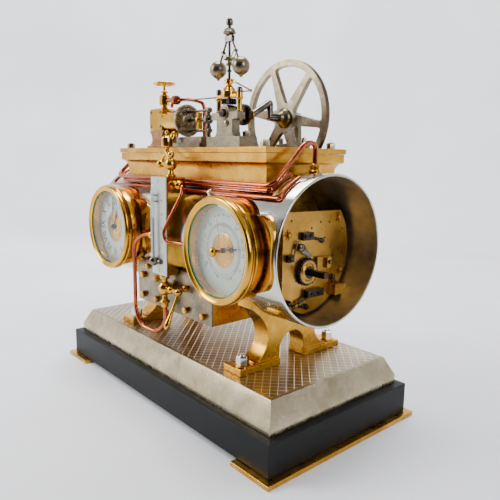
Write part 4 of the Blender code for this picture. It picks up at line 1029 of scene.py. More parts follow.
def drop_handle(hub, tip):
    """A boss with a drop-shaped handle, thin at the boss."""
    hub, tip = Vector(hub), Vector(tip)
    length = (tip - hub).length
    profile = [(0.0, 1.0), (1.5, 1.4), (1.2, 4.6), (1.35, length * 0.4), (2.0, length * 0.62),
               (2.9, length * 0.8),
               (3.1, length * 0.87), (2.7, length * 0.94), (1.5, length * 0.985), (0.0, length)]
    return [between(lathe(profile, "z", (0, 0, 0), 32), hub, tip), ball(4.0, tuple(hub)),
            disc(3.0, "x", -2.3, 2.3, tuple(hub), 32)]


piece("gilt_lower_handle", GILT, "lower_lever", drop_handle((24.6, TAP_Y, 118.0), (24.6, TAP_Y - 15.0, 83.0)),
      ["lower_tap_lever"], 0.1, "gilt")
foot = [(0.0, 228.6), (4.6, 228.6), (5.0, 229.4), (4.6, 230.6), (3.0, 231.6), (2.6, 234.2)] + bead(6.0,
                                                                                                   234.6,
                                                                                                   246.8)
foot += [(2.0, 247.4), (0.0, 247.6)]
bell = [(0.0, 249.4), (2.2, 249.8), (1.8, 252.6), (1.8, 255.4), (2.4, 256.4), (4.6, 257.0), (5.4, 258.0),
        (5.4, 265.4),
        (4.8, 266.4), (2.8, 267.6), (1.2, 268.4), (1.2, 269.0), (2.1, 270.2), (2.1, 271.2), (1.2, 272.6),
        (0.0, 273.1)]
solids = [lathe(foot, "z", (4.0, -64.0, 0.0), 40), lathe(bell, "z", (-2.5, -64.0, 0.0), 40),
          rod((4.0, -64.0, 243.5), (-2.5, -64.0, 252.0), 2.0),
          rod((4.0, -64.0, 240.8), (-12.2, -64.0, 240.8), 1.8),
          ball(3.4, (4.6, -64.0, 250.0)), rod((4.0, -64.0, 240.8), (4.6, -64.0, 250.0), 1.8)]
piece("gilt_upper_tap", GILT, "stand", solids, ["upper_tap_body"], 0.2, "gilt")
piece("gilt_upper_handle", GILT, "upper_lever", drop_handle((-14.8, -64.0, 240.8), (-14.8, -46.5, 273.0)),
      ["upper_tap_lever"], 0.1, "gilt")
print("after taps:", len(MADE), "pieces")

# %% [markdown]
# ## Cylinder, steam chest and guides
# The chest is a gilt block on a hollow-sided bronze foot. The cylinder's nickelled cover faces
# the crank, and two steel guide bars run from it to a nickel yoke. The crosshead slides
# between them on the piston rod.

# %% Cylinder pieces
right = smooth_side([(-74.0, 257.2), (-75.6, 260.0), (-79.2, 264.0), (-79.6, 269.0), (-76.6, 274.0),
                     (-73.5, 276.5)])
left = [(2 * CHEST_X - a, b) for a, b in reversed(right)]
foot = [sawn(right + left, "y", BORE_Y - 11.0, BORE_Y + 11.0),
        block((-110.0, BORE_Y - 12.0, 257.1), (-70.0, BORE_Y + 12.0, 259.8))]
engine_piece("bronze_chest_foot", BRONZE, "stand", foot, ["chest_pedestal"], 0.3, "bronze")
soft = rounded([(-103.5, 276.8), (-76.5, 276.8), (-76.5, 300.5), (-103.5, 300.5)], 3.2, 8, True)
barrel = [(0.0, -80.0), (12.3, -80.0), (12.3, -47.4), (13.4, -47.0), (13.4, -45.9), (7.0, -45.9),
          (7.0, -74.0),
          (0.0, -74.0)]
solids = [sawn([tuple(p) for p in soft], "y", BORE_Y - 12.0, BORE_Y + 12.0),
          lathe(barrel, "x", (0, BORE_Y, BORE_Z), 64)]
engine_piece("gilt_chest_and_cylinder", GILT, "stand", solids, ["steam_cylinder"], 0.9, "gilt")
screws = [lathe([(0.0, -0.9), (1.0, -0.8), (1.6, -0.2), (1.6, 0.6), (0.0, 0.6)], "y",
                (cx, BORE_Y - 12.0, cz), 20)
          for cx in (-99.5, -80.5) for cz in (281.0, 296.6)]
engine_piece("chest_screws", STEEL, "stand", screws, edge=0.0, slot="steel")
cover = [(2.0, -45.7), (16.2, -45.7), (17.0, -45.2), (17.0, -42.8), (16.4, -42.3), (14.4, -42.3),
         (13.8, -43.4),
         (8.0, -43.4), (7.4, -42.2), (5.4, -41.6), (5.0, -40.1), (2.0, -40.1)]
solids = [lathe(cover, "x", (0, BORE_Y, BORE_Z), 72)]
for k in range(6):
    a = 2 * math.pi * (k + 0.5) / 6
    solids += nut("x", (-43.4, BORE_Y + 10.8 * math.cos(a), BORE_Z + 10.8 * math.sin(a)), 1.9, 1.7, 0.5)
engine_piece("nickel_cylinder_cover", NICKEL, "stand", solids, ["cylinder_cover"], 0.15, "nickel")
bed = [block((-52.0, BORE_Y - 14.0, 257.1), (-2.0, BORE_Y + 12.0, 262.0)),
       block((-48.0, BORE_Y - 11.5, 262.0), (-2.4, BORE_Y + 10.5, 268.2)),
       lathe([(0.0, 268.0), (3.0, 268.0), (2.6, 270.0), (2.6, 273.0), (3.1, 274.0), (3.1, 279.0),
              (0.0, 279.0)], "z",
             (-5.5, BORE_Y, 0.0), 28),
       lathe([(0.0, 291.0), (2.2, 291.0), (2.2, 294.0), (3.0, 295.0), (2.6, 297.4), (0.0, 298.2)], "z",
             (-5.5, BORE_Y, 0.0), 28),
       lathe([(0.0, 279.0), (2.2, 279.0), (2.2, 281.6), (0.0, 281.6)], "z", (-5.5, BORE_Y, 0.0), 24),
       ring(2.2, 5.0, "x", -7.4, -3.6, (0, BORE_Y, BORE_Z), 40)]
for x, y in ((-46.0, -22.0), (-8.0, -22.0), (-46.0, -2.0), (-8.0, -2.0)):
    bed += nut("z", (x, y, 262.0), 2.2, 2.2, 0.4)
engine_piece("nickel_guide_bed", CAST_NICKEL, "stand", bed, ["guide_bed"], 0.25, "nickel")
bars = []
for z in (295.0, 274.5):
    bars += [rod((-42.4, BORE_Y, z), (-5.0, BORE_Y, z), 1.25), ball(3.0, (-3.6, BORE_Y, z), 28)]
engine_piece("steel_guide_bars", STEEL, "stand", bars, edge=0.0, slot="steel")
piston = [disc(6.7, "x", -66.0, -60.0, (0, BORE_Y, BORE_Z), 48),
          rod((-61.0, BORE_Y, BORE_Z), (14.0, BORE_Y, BORE_Z), 1.5),
          disc(3.2, "y", -13.7, -10.3, (14.0, 0.0, BORE_Z), 32)]
engine_piece("steel_piston_rod", STEEL, "piston", piston, ["piston_rod"], 0.15, "steel")
cross = [ball(3.6, (-22.0, BORE_Y, BORE_Z)), block((-24.4, BORE_Y - 2.6, 276.2),
                                                   (-19.6, BORE_Y + 2.6, 293.4)),
         disc(2.2, "y", BORE_Y - 4.4, BORE_Y + 4.4, (-22.0, 0.0, BORE_Z), 28)]
engine_piece("gilt_crosshead", GILT, "piston", cross, edge=0.3, slot="gilt")
print("after cylinder:", len(MADE), "pieces")

# %% [markdown]
# ## Stop valve and steam pipe
# A hexagonal valve body stands on the chest under a spoked gilt hand wheel. A flanged copper
# pipe leaves it, passes in front of the guides and goes down into the deck.

# %% Valve pieces
neck = [(0.0, 300.6), (4.8, 300.6), (5.0, 301.6), (3.2, 302.8), (3.2, 305.0), (0.0, 305.0)]
gland = [(0.0, 316.0), (4.2, 316.2), (2.2, 317.4), (2.2, 317.8)] + bead(4.2, 317.8, 321.0) + [(0.0, 321.0)]
solids = [lathe(neck, "z", (CHEST_X, BORE_Y, 0.0), 36), lathe(gland, "z", (CHEST_X, BORE_Y, 0.0), 36),
          lathe([(0.0, 304.8), (5.0, 304.8), (5.8, 305.8), (5.8, 315.2), (5.0, 316.2), (0.0, 316.2)], "z",
                (CHEST_X, BORE_Y, 0.0), 6)]
engine_piece("gilt_stop_valve", GILT, "stand", solids, ["stop_valve_body"], 0.25, "gilt")
start, joint = (CHEST_X + 3.0, BORE_Y, 310.5), (-64.0, BORE_Y - 1.6, 308.9)
stub = [rod(start, joint, 2.4), rod((-67.4, BORE_Y - 1.4, 309.1), (-64.1, BORE_Y - 1.6, 308.9), 4.9, 40)]
stub.append(lathe([(0.0, -8.6), (0.9, -8.2), (1.9, -6.4), (2.1, -5.2), (1.2, -3.6), (1.0, 0.0), (0.0, 0.0)],
                  "z",
                  (-73.0, BORE_Y - 1.0, 309.4), 24))
engine_piece("copper_stub_and_drain", COPPER, "stand", stub, edge=0.2, slot="copper")
far = [rod((-63.8, BORE_Y - 1.6, 308.9), (-60.6, BORE_Y - 1.8, 308.6), 4.9, 40),
       tube([(-63.0, BORE_Y - 1.65, 308.8), (-57.0, -11.5, 309.0), (-47.0, -4.0, 309.0), (-37.5, 3.2, 306.0),
             (-35.5, 4.6, 300.0), (-35.5, 4.6, DECK_TOP + 0.3)], 1.9, 9.0, 20),
       lathe([(0.0, 257.1), (4.0, 257.1), (4.2, 258.4), (2.8, 259.6), (0.0, 259.6)], "z", (-35.5, 4.6, 0.0),
             32)]
engine_piece("copper_steam_pipe", COPPER, "stand", far, ["steam_pipe"], 0.15, "copper")
WHEEL_LEVEL, HAND_R = 328.6, 11.4
section = [(HAND_R + 1.35 * math.cos(a), WHEEL_LEVEL + 1.35 * math.sin(a))
           for a in [2 * math.pi * k / 14 for k in range(14)]]
solids = [lathe(section, "z", (CHEST_X, BORE_Y, 0.0), 64),
          lathe([(0.0, 321.4), (1.4, 321.4), (1.4, 325.2), (2.0, 326.2), (3.0, 327.2), (3.0, 329.8),
                 (1.6, 330.6),
                 (1.4, 331.4), (0.0, 332.0)], "z", (CHEST_X, BORE_Y, 0.0), 28)]
for k in range(6):
    a = math.pi / 3 * k
    solids.append(rod((CHEST_X, BORE_Y, WHEEL_LEVEL),
                      (CHEST_X + HAND_R * math.cos(a), BORE_Y + HAND_R * math.sin(a), WHEEL_LEVEL), 0.95, 14))
engine_piece("gilt_hand_wheel", GILT, "handwheel", solids, ["valve_handwheel"], 0.0, "gilt")
print("after valve:", len(MADE), "pieces")

# %% [markdown]
# ## Governor
# A nickelled stand carries two gilt pillars and a bearing. The spindle is turned steel with a
# cap and a finial. Two arms hang from the cap with brass-coloured steel balls, and short links
# reach down to a sleeve. A brass bell-crank of bent wire passes the sleeve's motion on.

# %% Governor pieces
right = smooth_side([(24.0, 266.6), (15.5, 267.4), (12.8, 270.4), (12.2, 276.0), (12.2, 282.6)], 6)
right = [(24.0, 262.0)] + right + [(20.0, 283.2), (20.0, 289.9), (7.2, 289.9)]
head = arc((0.0, 289.9), 7.2, 0.0, 180.0, 24)[1:-1]
outline = [(CRANK_X + a, b) for a, b in right + head + [(-a, b) for a, b in reversed(right)]]
solids = [sawn(outline, "y", -24.0, -14.2), block((CRANK_X - 26.0, -26.0, 257.1),
                                                  (CRANK_X + 26.0, -4.0, 267.0)),
          ring(3.1, 6.0, "y", -25.2, -23.8, (CRANK_X, 0.0, CRANK_Z), 40)]
engine_piece("nickel_governor_stand", CAST_NICKEL, "stand", solids, ["governor_stand"], 0.4, "nickel")
bolts = nut("z", (CRANK_X + 16.8, -9.5, 267.0), 4.2, 5.2, 0.8) + nut("z", (CRANK_X - 16.8, -9.5, 267.0),
                                                                     4.2, 5.2, 0.8)
bolts.append(lathe([(0.0, -26.4), (2.2, -26.2), (3.2, -25.2), (3.2, -23.8), (0.0, -23.8)], "y",
                   (CRANK_X + 3.6, 0.0, 279.6), 28))
engine_piece("governor_stand_nuts", NICKEL, "stand", bolts, edge=0.25, slot="nickel")
body = [(1.9, 303.3), (7.4, 303.3), (7.6, 304.0), (7.6, 309.4), (6.4, 310.2), (5.8, 311.2), (1.9, 311.2)]
solids = [lathe(body, "z", (CRANK_X, GOVERNOR_Y, 0.0), 48)]
for y in (-3.2, 3.2):
    solids.append(block((CRANK_X - 15.6, GOVERNOR_Y + y - 0.8, 303.4),
                        (CRANK_X + 15.6, GOVERNOR_Y + y + 0.8, 306.0)))
caps = []
for side in (-1, 1):
    x = CRANK_X + side * 16.0
    post = [(0.0, 290.0), (3.3, 290.0), (3.3, 291.2), (2.3, 292.0), (2.3, 301.2), (2.8, 301.8), (3.6, 302.4),
            (3.6, 303.6), (2.9, 304.4), (2.9, 307.4), (0.0, 307.4)]
    solids.append(lathe(post, "z", (x, GOVERNOR_Y, 0.0), 32))
    caps.append(lathe([(0.0, 307.3), (2.8, 307.3), (2.8, 310.6), (2.2, 312.0), (1.0, 312.7), (0.0, 312.8)],
                      "z",
                      (x, GOVERNOR_Y, 0.0), 28))
engine_piece("gilt_governor_frame", GILT, "stand", solids, ["governor_frame"], 0.2, "gilt")
engine_piece("governor_pillar_caps", STEEL, "stand", caps, edge=0.0, slot="steel")
wire_end = (36.0, 10.0, 313.0)
levers = [tube([(38.5, GOVERNOR_Y + 5.6, 318.6), wire_end, (52.0, GOVERNOR_Y + 3.0, 308.4)], 0.75, 2.0, 12),
          ball(1.6, (36.4, 8.8, 313.0), 20)]
engine_piece("brass_bell_crank", BRONZE, "stand", levers, edge=0.0, slot="bronze")
rods = [tube([(20.0, GOVERNOR_Y, 305.2), (-20.0, GOVERNOR_Y + 0.6, 306.2), (-58.0, BORE_Y - 0.4, 307.6)],
             0.8, 4.0, 12)]
engine_piece("throttle_rod", STEEL, "stand", rods, edge=0.0, slot="steel")
print("after governor stand:", len(MADE), "pieces")

# %% Governor moving pieces
ARM_PIVOT, BALL_PLACE, BALL_R = (3.5, 357.0), (17.3, 331.0), 8.3
axis = (CRANK_X, GOVERNOR_Y, 0.0)
lower_spindle = [(0.0, 297.3), (4.0, 297.3), (4.0, 298.0), (1.4, 302.8), (1.4, 321.0), (1.4, 327.0),
                 (2.2, 327.6),
                 (2.2, 329.0), (1.35, 329.6), (1.35, 359.6), (2.6, 359.7), (3.4, 360.4), (5.8, 361.8),
                 (6.3, 363.0),
                 (5.6, 364.0), (4.9, 364.5), (5.2, 365.4), (4.2, 366.4), (2.2, 367.0), (1.5, 367.8),
                 (1.5, 369.0),
                 (3.0, 369.6), (3.5, 371.2), (3.4, 373.2), (2.6, 375.0), (1.4, 375.8), (0.0, 375.9)]
solids = [lathe(lower_spindle, "z", axis, 36)]
for y in (GOVERNOR_Y - 1.9, GOVERNOR_Y + 1.0):
    solids.append(block((CRANK_X - 5.3, y, ARM_PIVOT[1] - 2.3), (CRANK_X + 5.3, y + 0.9, 360.0)))
engine_piece("steel_governor_spindle", STEEL, "governor", solids, ["governor_spindle"], 0.12, "steel")
teeth = []
for k in range(44):
    a = 2 * math.pi * k / 44
    r = 7.5 if k % 2 else 6.7
    teeth.append((CRANK_X + r * math.cos(a), GOVERNOR_Y + r * math.sin(a)))
engine_piece("crown_wheel", DARK_STEEL, "governor", [sawn(teeth, "z", 297.4, 302.5)], edge=0.12, slot="steel")
pulley = [(1.3, 311.6), (6.2, 311.6), (5.2, 312.6), (3.2, 314.4), (2.4, 315.4), (2.4, 316.2), (5.0, 316.8),
          (5.0, 317.6),
          (3.8, 318.3), (3.8, 319.0), (5.0, 319.7), (5.0, 320.5), (3.0, 321.4), (1.3, 321.8)]
engine_piece("gilt_governor_pulley", GILT, "governor", [lathe(pulley, "z", axis, 48)], edge=0.0, slot="gilt")
for name, side in (("left", -1), ("right", 1)):
    pivot = Vector((CRANK_X + side * ARM_PIVOT[0], GOVERNOR_Y, ARM_PIVOT[1]))
    weight = Vector((CRANK_X + side * BALL_PLACE[0], GOVERNOR_Y, BALL_PLACE[1]))
    knuckle = pivot.lerp(weight, 0.42)
    arm = [rod(pivot, weight, 1.05), disc(1.5, "y", GOVERNOR_Y - 0.7, GOVERNOR_Y + 0.7,
                                          (pivot.x, 0.0, pivot.z), 24),
           lathe([(0.0, -2.3), (1.1, -2.2), (1.5, -1.2), (1.5, 1.2), (1.1, 2.2), (0.0, 2.3)], "y",
                 tuple(knuckle), 24),
           rod(weight - Vector((0, 0, BALL_R + 1.7)), weight, 1.3)]
    engine_piece("arm_" + name, STEEL, "arm_" + name, arm, ["governor_arm_" + name], 0.0, "steel")
    shell = [ball(BALL_R, tuple(weight), 56),
             lathe([(0.0, -BALL_R - 1.0), (2.0, -BALL_R - 0.6), (2.6, -BALL_R + 0.6), (0.0, -BALL_R + 0.8)],
                   "z",
                   tuple(weight), 28)]
    engine_piece("ball_" + name, CAST_NICKEL, "arm_" + name, shell, edge=0.0, slot="nickel")
flange = [(1.75, 333.0), (3.6, 333.0), (3.8, 334.0), (2.7, 335.2), (2.7, 337.4), (4.4, 338.2), (5.9, 338.8),
          (5.9, 340.0), (4.4, 340.8), (1.75, 341.0)]
solids = [lathe(flange, "z", axis, 44)]
for side in (-1, 1):
    low = (CRANK_X + side * 5.0, GOVERNOR_Y, 340.2)
    high = (CRANK_X + side * 8.4, GOVERNOR_Y, 344.9)
    for y in (-1.9, 1.9):
        solids.append(rod((low[0], GOVERNOR_Y + y, low[2]), (high[0], GOVERNOR_Y + y, high[2]), 0.6, 14))
engine_piece("nickel_sleeve", NICKEL, "sleeve", solids, ["governor_sleeve"], 0.0, "nickel")
print("after governor:", len(MADE), "pieces")

# %% [markdown]
# ## Crankshaft and flywheel
# The crank is forged from one steel bar: a slanted web, a pin and a straight web. The flywheel
# is a flat casting with six arms, and every corner between arm and rim is rounded, because a
# sharp inside corner would crack as the metal cools.

# %% Crank pieces
def on_shaft(y, rise=0.0):
    return (CRANK_X, y, CRANK_Z + rise)


solids = [rod(on_shaft(-27.5), on_shaft(12.0), 2.5, 32),
          rod(on_shaft(10.0), on_shaft(33.0, CRANK_THROW), 3.5, 28),
          ball(4.0, on_shaft(34.2, CRANK_THROW)),
          rod(on_shaft(35.4, CRANK_THROW), on_shaft(35.4, -1.5), 3.4, 28),
          rod(on_shaft(34.0), on_shaft(46.2), 4.0, 32),
          rod(on_shaft(46.0), on_shaft(REAR_BEARING[1] + 0.8), 2.5, 32),
          disc(7.9, "y", -12.6, -9.6, on_shaft(0.0), 48)]
engine_piece("steel_crankshaft", STEEL, "wheel", solids, ["crankshaft"], 0.15, "steel")
collars = [lathe([(2.0, 8.0), (4.4, 8.0), (5.4, 8.8), (5.4, 10.2), (4.4, 11.0), (2.0, 11.0)], "y",
                 on_shaft(0.0), 40),
           lathe([(2.0, 4.0), (4.0, 4.0), (4.0, 6.6), (2.0, 6.6)], "y", on_shaft(0.0), 36)]
engine_piece("gilt_crank_collars", GILT, "wheel", collars, edge=0.15, slot="gilt")
strap = lathe([(2.0, -2.0), (9.4, -2.0), (10.4, -1.2), (10.4, 2.2), (9.4, 3.0), (2.0, 3.0)], "y",
              on_shaft(0.0), 56)
engine_piece("dark_eccentric", DARK_STEEL, "wheel", [strap], edge=0.0, slot="steel")
engine_piece("shaft_end_nut", DARK_STEEL, "wheel",
             nut("y", on_shaft(-24.5), 4.4, -3.4, -0.4) + nut("y", on_shaft(63.0), 4.2, 2.8, 0.4),
      edge=0.2, slot="steel")
print("after crank:", len(MADE), "pieces")

# %% Flywheel pieces
def spoke_window(middle):
    """Opening between two arms, its corners rounded, as (x, z) points."""
    inner_r, outer_r, half_arm = 12.5, 52.4, 3.2
    lean = math.asin(half_arm / outer_r)
    edge = math.radians(30.0) - lean
    points = [Vector((math.cos(middle), math.sin(middle))) * inner_r]
    for k in range(13):
        a = middle - edge + 2 * edge * k / 12
        points.append(Vector((outer_r * math.cos(a), outer_r * math.sin(a))))
    path = []
    count = len(points)
    for k, bend in ((0, 6.0), (1, 7.0)) + tuple((i, 0.8) for i in range(2, count - 1)) + ((count - 1, 7.0),):
        corner = points[k]
        into, out = points[k - 1] - corner, points[(k + 1) % count] - corner
        reach_in = min(bend, into.length * 0.48)
        reach_out = min(bend, out.length * 0.48)
        start, end = corner + into.normalized() * reach_in, corner + out.normalized() * reach_out
        for s in range(5):
            t = s / 4
            path.append(start * (1 - t) ** 2 + corner * 2 * t * (1 - t) + end * t ** 2)
    return [(CRANK_X + p.x, CRANK_Z + p.y) for p in path]


def pierced_disc(outer, windows, low, high):
    """A flat disc with openings, sawn through."""
    bm = bmesh.new()
    edges = []
    for outline in [outer] + windows:
        loop = [bm.verts.new((a, low, b)) for a, b in outline]
        edges += [bm.edges.new((loop[k], loop[(k + 1) % len(loop)])) for k in range(len(loop))]
    bmesh.ops.triangle_fill(bm, use_beauty=True, use_dissolve=False, edges=edges)
    top = bmesh.ops.extrude_face_region(bm, geom=list(bm.faces))
    moved = [v for v in top["geom"] if isinstance(v, bmesh.types.BMVert)]
    bmesh.ops.translate(bm, verts=moved, vec=(0.0, high - low, 0.0))
    return bm


windows = [spoke_window(math.radians(51.0 + 30.0 + 60.0 * k)) for k in range(6)]
casting = pierced_disc(arc((CRANK_X, CRANK_Z), WHEEL_R, 0, 360, 160)[:-1], windows, WHEEL_Y - 2.7,
                       WHEEL_Y + 2.7)
hub = lathe([(2.8, 46.4), (4.6, 46.4), (5.4, 47.2), (6.0, 49.4), (7.4, 51.0), (9.6, 52.2), (10.4, 54.4),
             (10.4, 61.4),
             (9.0, 62.4), (2.8, 62.6)], "y", (CRANK_X, 0.0, CRANK_Z), 56)
engine_piece("flywheel_casting", CAST_NICKEL, "wheel", [casting], ["flywheel"], 0.45, "nickel")
engine_piece("flywheel_hub", CAST_NICKEL, "wheel", [hub], edge=0.0, slot="nickel")
rim_band = lathe([(WHEEL_R - 0.5, WHEEL_Y - 2.3), (WHEEL_R, WHEEL_Y - 2.3), (WHEEL_R, WHEEL_Y + 2.3),
                  (WHEEL_R - 0.5, WHEEL_Y + 2.3)], "y", (CRANK_X, 0.0, CRANK_Z), 160)
engine_piece("flywheel_running_edge", BRONZE, "wheel", [rim_band], edge=0.0, slot="nickel")
outline = [(CRANK_X - 27.0, 257.2), (CRANK_X + 20.0, 257.2), (CRANK_X + 20.0, 262.6), (CRANK_X + 11.5, 263.4),
           (CRANK_X + 7.4, 267.0)]
outline += arc((CRANK_X, CRANK_Z), 7.2, -30.0, 210.0, 30)
outline += [(CRANK_X - 7.4, 267.0), (CRANK_X - 11.5, 263.4), (CRANK_X - 27.0, 262.6)]
front, back = REAR_BEARING
solids = [sawn(outline, "y", front, back), ring(2.9, 6.0, "y", front - 0.8, back + 0.2,
                                                (CRANK_X, 0.0, CRANK_Z), 40)]
engine_piece("nickel_rear_pedestal", CAST_NICKEL, "stand", solids, ["rear_pedestal"], 0.3, "nickel")
feet = []
for x in (-21.5, 14.0):
    feet += nut("z", (CRANK_X + x, (front + back) / 2, 262.8), 2.8, 6.4, 0.8)
engine_piece("rear_pedestal_nuts", NICKEL, "stand", feet, edge=0.2, slot="nickel")
print("after flywheel:", len(MADE), "pieces")

# %% [markdown]
# ## Movement
# The open end of the boiler shows the clock's brass plates, pinned on four pillars. The
# winding arbor carries a ratchet wheel, held by a sprung click. Screwed steel blocks and
# springs around it belong to the strike and the alarm work.

# %% Movement pieces
PLATE_FRONT = PLATE_X + 2.6
plate = [(-28.0, 202.0)] + arc((2.0, 165.0), 58.0, 38.0, -94.0, 48) + [(-28.0, 119.0)]
piece("brass_front_plate", BRASS, "stand", [sawn(plate, "x", PLATE_X, PLATE_FRONT)],
      ["movement_front_plate"], 0.3,
      "brass")
side_strip = [block((108.0, -40.0, 122.0), (110.0, -28.5, 200.0))]
for z in (128.0, 194.0):
    side_strip.append(rod((87.0, -34.0, z), (108.6, -34.0, z), 2.4))
piece("brass_side_strip", BRASS, "stand", side_strip, edge=0.2, slot="brass")
PILLARS = ((44.0, 195.0), (48.0, 143.0), (-22.0, 182.0), (-12.0, 117.0))
solids = [disc(BOILER_R - 2.6, "x", 85.0, 87.6, (0, 0, AXIS_Z), 96)]
for y, z in PILLARS:
    solids.append(lathe([(0.0, 87.0), (4.0, 87.2), (3.0, 90.0), (2.6, 104.0), (3.0, 119.0), (4.0, 122.0),
                         (0.0, 122.0)],
                        "x", (0.0, y, z), 28))
piece("brass_back_plate_and_pillars", BRASS, "stand", solids, ["movement_back_plate"], 0.15, "brass")
pins = []
for y, z in PILLARS:
    pins.append(lathe([(0.0, PLATE_FRONT - 0.2), (2.6, PLATE_FRONT - 0.2), (2.4, PLATE_FRONT + 2.6),
                       (1.6, PLATE_FRONT + 3.4), (0.0, PLATE_FRONT + 3.6)], "x", (0.0, y, z), 24))
    pins.append(rod((PLATE_FRONT + 1.4, y - 0.6, z - 4.4), (PLATE_FRONT + 1.4, y + 0.6, z + 4.8), 0.6, 12))
piece("pillar_ends_and_pins", BRASS, "stand", pins, edge=0.0, slot="brass")
# Flat dark discs at the oil sinks: painted shade standing in for the holes in the plate.
shaded_hole_discs = []
for y, z in ((-18.0, 194.0), (20.0, 191.0), (32.0, 190.0), (26.0, 176.0), (8.0, 186.0), (38.0, 158.0)):
    shaded_hole_discs.append(disc(1.1, "x", PLATE_FRONT - 0.1, PLATE_FRONT + 0.06, (0.0, y, z), 20))
piece("oil_sink_painted_shade", DARK_STEEL, "stand", shaded_hole_discs, edge=0.0, slot="steel")
barrel = [(3.5, 91.0), (28.4, 91.0), (29.0, 91.6), (29.0, 93.6), (25.6, 94.4), (25.6, 117.4), (25.0, 118.0),
          (3.5, 118.0)]
piece("brass_barrel", BRASS, "barrel", [lathe(barrel, "x", (0, ARBOR_Y, ARBOR_Z), 80)],
      ["mainspring_barrel"], 0.0,
      "brass")
print("after plates:", len(MADE), "pieces")

# %% Winding work pieces
WHEEL_LOW = PLATE_FRONT + 1.0
teeth = []
for k in range(24):
    for turn, radius in ((0.0, 13.0), (0.82, 11.2), (0.94, 11.6)):
        a = 2 * math.pi * (k + turn) / 24
        teeth.append((ARBOR_Y + radius * math.cos(a), ARBOR_Z + radius * math.sin(a)))
centre = (0.0, ARBOR_Y, ARBOR_Z)
piece("steel_ratchet_wheel", DARK_STEEL, "winding", [sawn(teeth, "x", WHEEL_LOW, WHEEL_LOW + 3.2)],
      edge=0.1, slot="steel")
faces = [lathe([(5.6, WHEEL_LOW + 3.0), (10.6, WHEEL_LOW + 3.0), (10.6, WHEEL_LOW + 3.7),
                (8.8, WHEEL_LOW + 4.0),
                (8.2, WHEEL_LOW + 3.6), (7.2, WHEEL_LOW + 4.4), (5.6, WHEEL_LOW + 4.6)], "x", centre, 56)]
piece("brass_ratchet_face", BRASS, "winding", faces, edge=0.0, slot="brass")
square = 2.6
solids = [rod((82.0, ARBOR_Y, ARBOR_Z), (130.0, ARBOR_Y, ARBOR_Z), 3.0, 32),
          ring(2.4, 5.8, "x", WHEEL_LOW + 2.6, WHEEL_LOW + 5.2, centre, 40),
          block((WHEEL_LOW + 2.0, ARBOR_Y - square, ARBOR_Z - square),
                (150.0, ARBOR_Y + square, ARBOR_Z + square))]
piece("steel_winding_square", DARK_STEEL, "winding", solids, ["winding_arbor"], 0.3, "steel")
click = smooth_side([(-11.0, 167.6), (-4.0, 163.6), (2.2, 160.6), (4.4, 159.9)], 5)
click += smooth_side([(5.2, 162.4), (-1.0, 168.0), (-4.0, 171.6), (-8.4, 173.4), (-11.4, 171.0)], 5)
solids = [sawn(click, "x", WHEEL_LOW, WHEEL_LOW + 3.0),
          lathe([(0.0, WHEEL_LOW - 0.6), (3.6, WHEEL_LOW - 0.6), (3.6, WHEEL_LOW + 3.4),
                 (2.6, WHEEL_LOW + 4.4),
                 (0.0, WHEEL_LOW + 4.6)], "x", (0.0, -8.0, 170.0), 28)]
piece("steel_click", STEEL, "pawl", solids, ["click"], 0.2, "steel")


def plate_block(y0, z0, y1, z1, height=4.0):
    return block((PLATE_FRONT, min(y0, y1), min(z0, z1)), (PLATE_FRONT + height, max(y0, y1), max(z0, z1)))


def plate_screw(y, z, radius=2.4, height=3.0):
    return lathe([(0.0, PLATE_FRONT), (radius, PLATE_FRONT), (radius, PLATE_FRONT + height * 0.7),
                  (radius * 0.7, PLATE_FRONT + height), (0.0, PLATE_FRONT + height)], "x", (0.0, y, z), 24)


def flat_arm(start, end, width, level=2.2, thick=1.2):
    """A thin steel arm lying along the plate."""
    a, b = Vector(start), Vector(end)
    across = Vector((-(b - a).y, (b - a).x)).normalized() * width / 2
    outline = [tuple(a + across), tuple(b + across * 0.6), tuple(b - across * 0.6), tuple(a - across)]
    return sawn(outline, "x", PLATE_FRONT + level, PLATE_FRONT + level + thick)


steel_parts = [plate_block(-6.0, 176.0, 7.0, 183.0), flat_arm((2.0, 179.0), (22.0, 173.6), 3.6),
               plate_screw(21.0, 173.8),
               plate_screw(-3.0, 179.5, 2.0, 5.0), plate_screw(3.4, 179.5, 2.0, 5.0),
               plate_block(-24.6, 158.0, -17.0, 164.5), plate_screw(-21.0, 161.4, 2.6, 5.4),
               plate_block(0.0, 122.6, 22.0, 129.6, 5.4), flat_arm((4.0, 124.4), (-17.0, 116.4), 3.2),
               plate_screw(-22.0, 121.0, 2.8, 5.0), plate_screw(2.0, 113.6, 2.6, 3.4),
               plate_screw(15.0, 126.0, 2.2, 6.6),
               plate_screw(6.0, 126.0, 2.0, 6.4), flat_arm((2.0, 113.6), (-16.0, 117.0), 2.6, 1.0)]
piece("steel_strike_work", DARK_STEEL, "stand", steel_parts, edge=0.25, slot="steel")
spring = tube([(PLATE_FRONT + 2.0, -16.0, 163.0), (PLATE_FRONT + 2.4, -12.0, 176.0),
               (PLATE_FRONT + 2.4, -9.0, 175.4)],
              0.7, 3.0, 12)
piece("click_spring", STEEL, "stand", [spring], edge=0.0, slot="steel")
cock = [plate_block(14.0, 146.0, 30.0, 159.0, 3.2), plate_block(24.0, 148.0, 30.0, 158.0, 6.4)]
piece("brass_cock", BRASS, "stand", cock, edge=0.3, slot="brass")
small = [plate_screw(27.0, 153.6, 2.2, 8.6), plate_screw(36.6, 138.0, 2.4, 4.6),
         flat_arm((36.6, 138.0), (44.0, 128.0), 3.0)]
piece("cock_screws", STEEL, "stand", small, edge=0.2, slot="steel")
hammer = block((PLATE_FRONT + 0.4, 34.0, 121.0), (PLATE_FRONT + 9.0, 50.0, 131.5))
piece("brass_hammer_block", BRASS, "stand", [hammer], edge=0.4, slot="brass")
print("after movement:", len(MADE), "pieces")

# %% [markdown]
# ## Nodes kept from the CAD model
# Whatever is not replaced keeps its own shape and takes the finish of its slot.

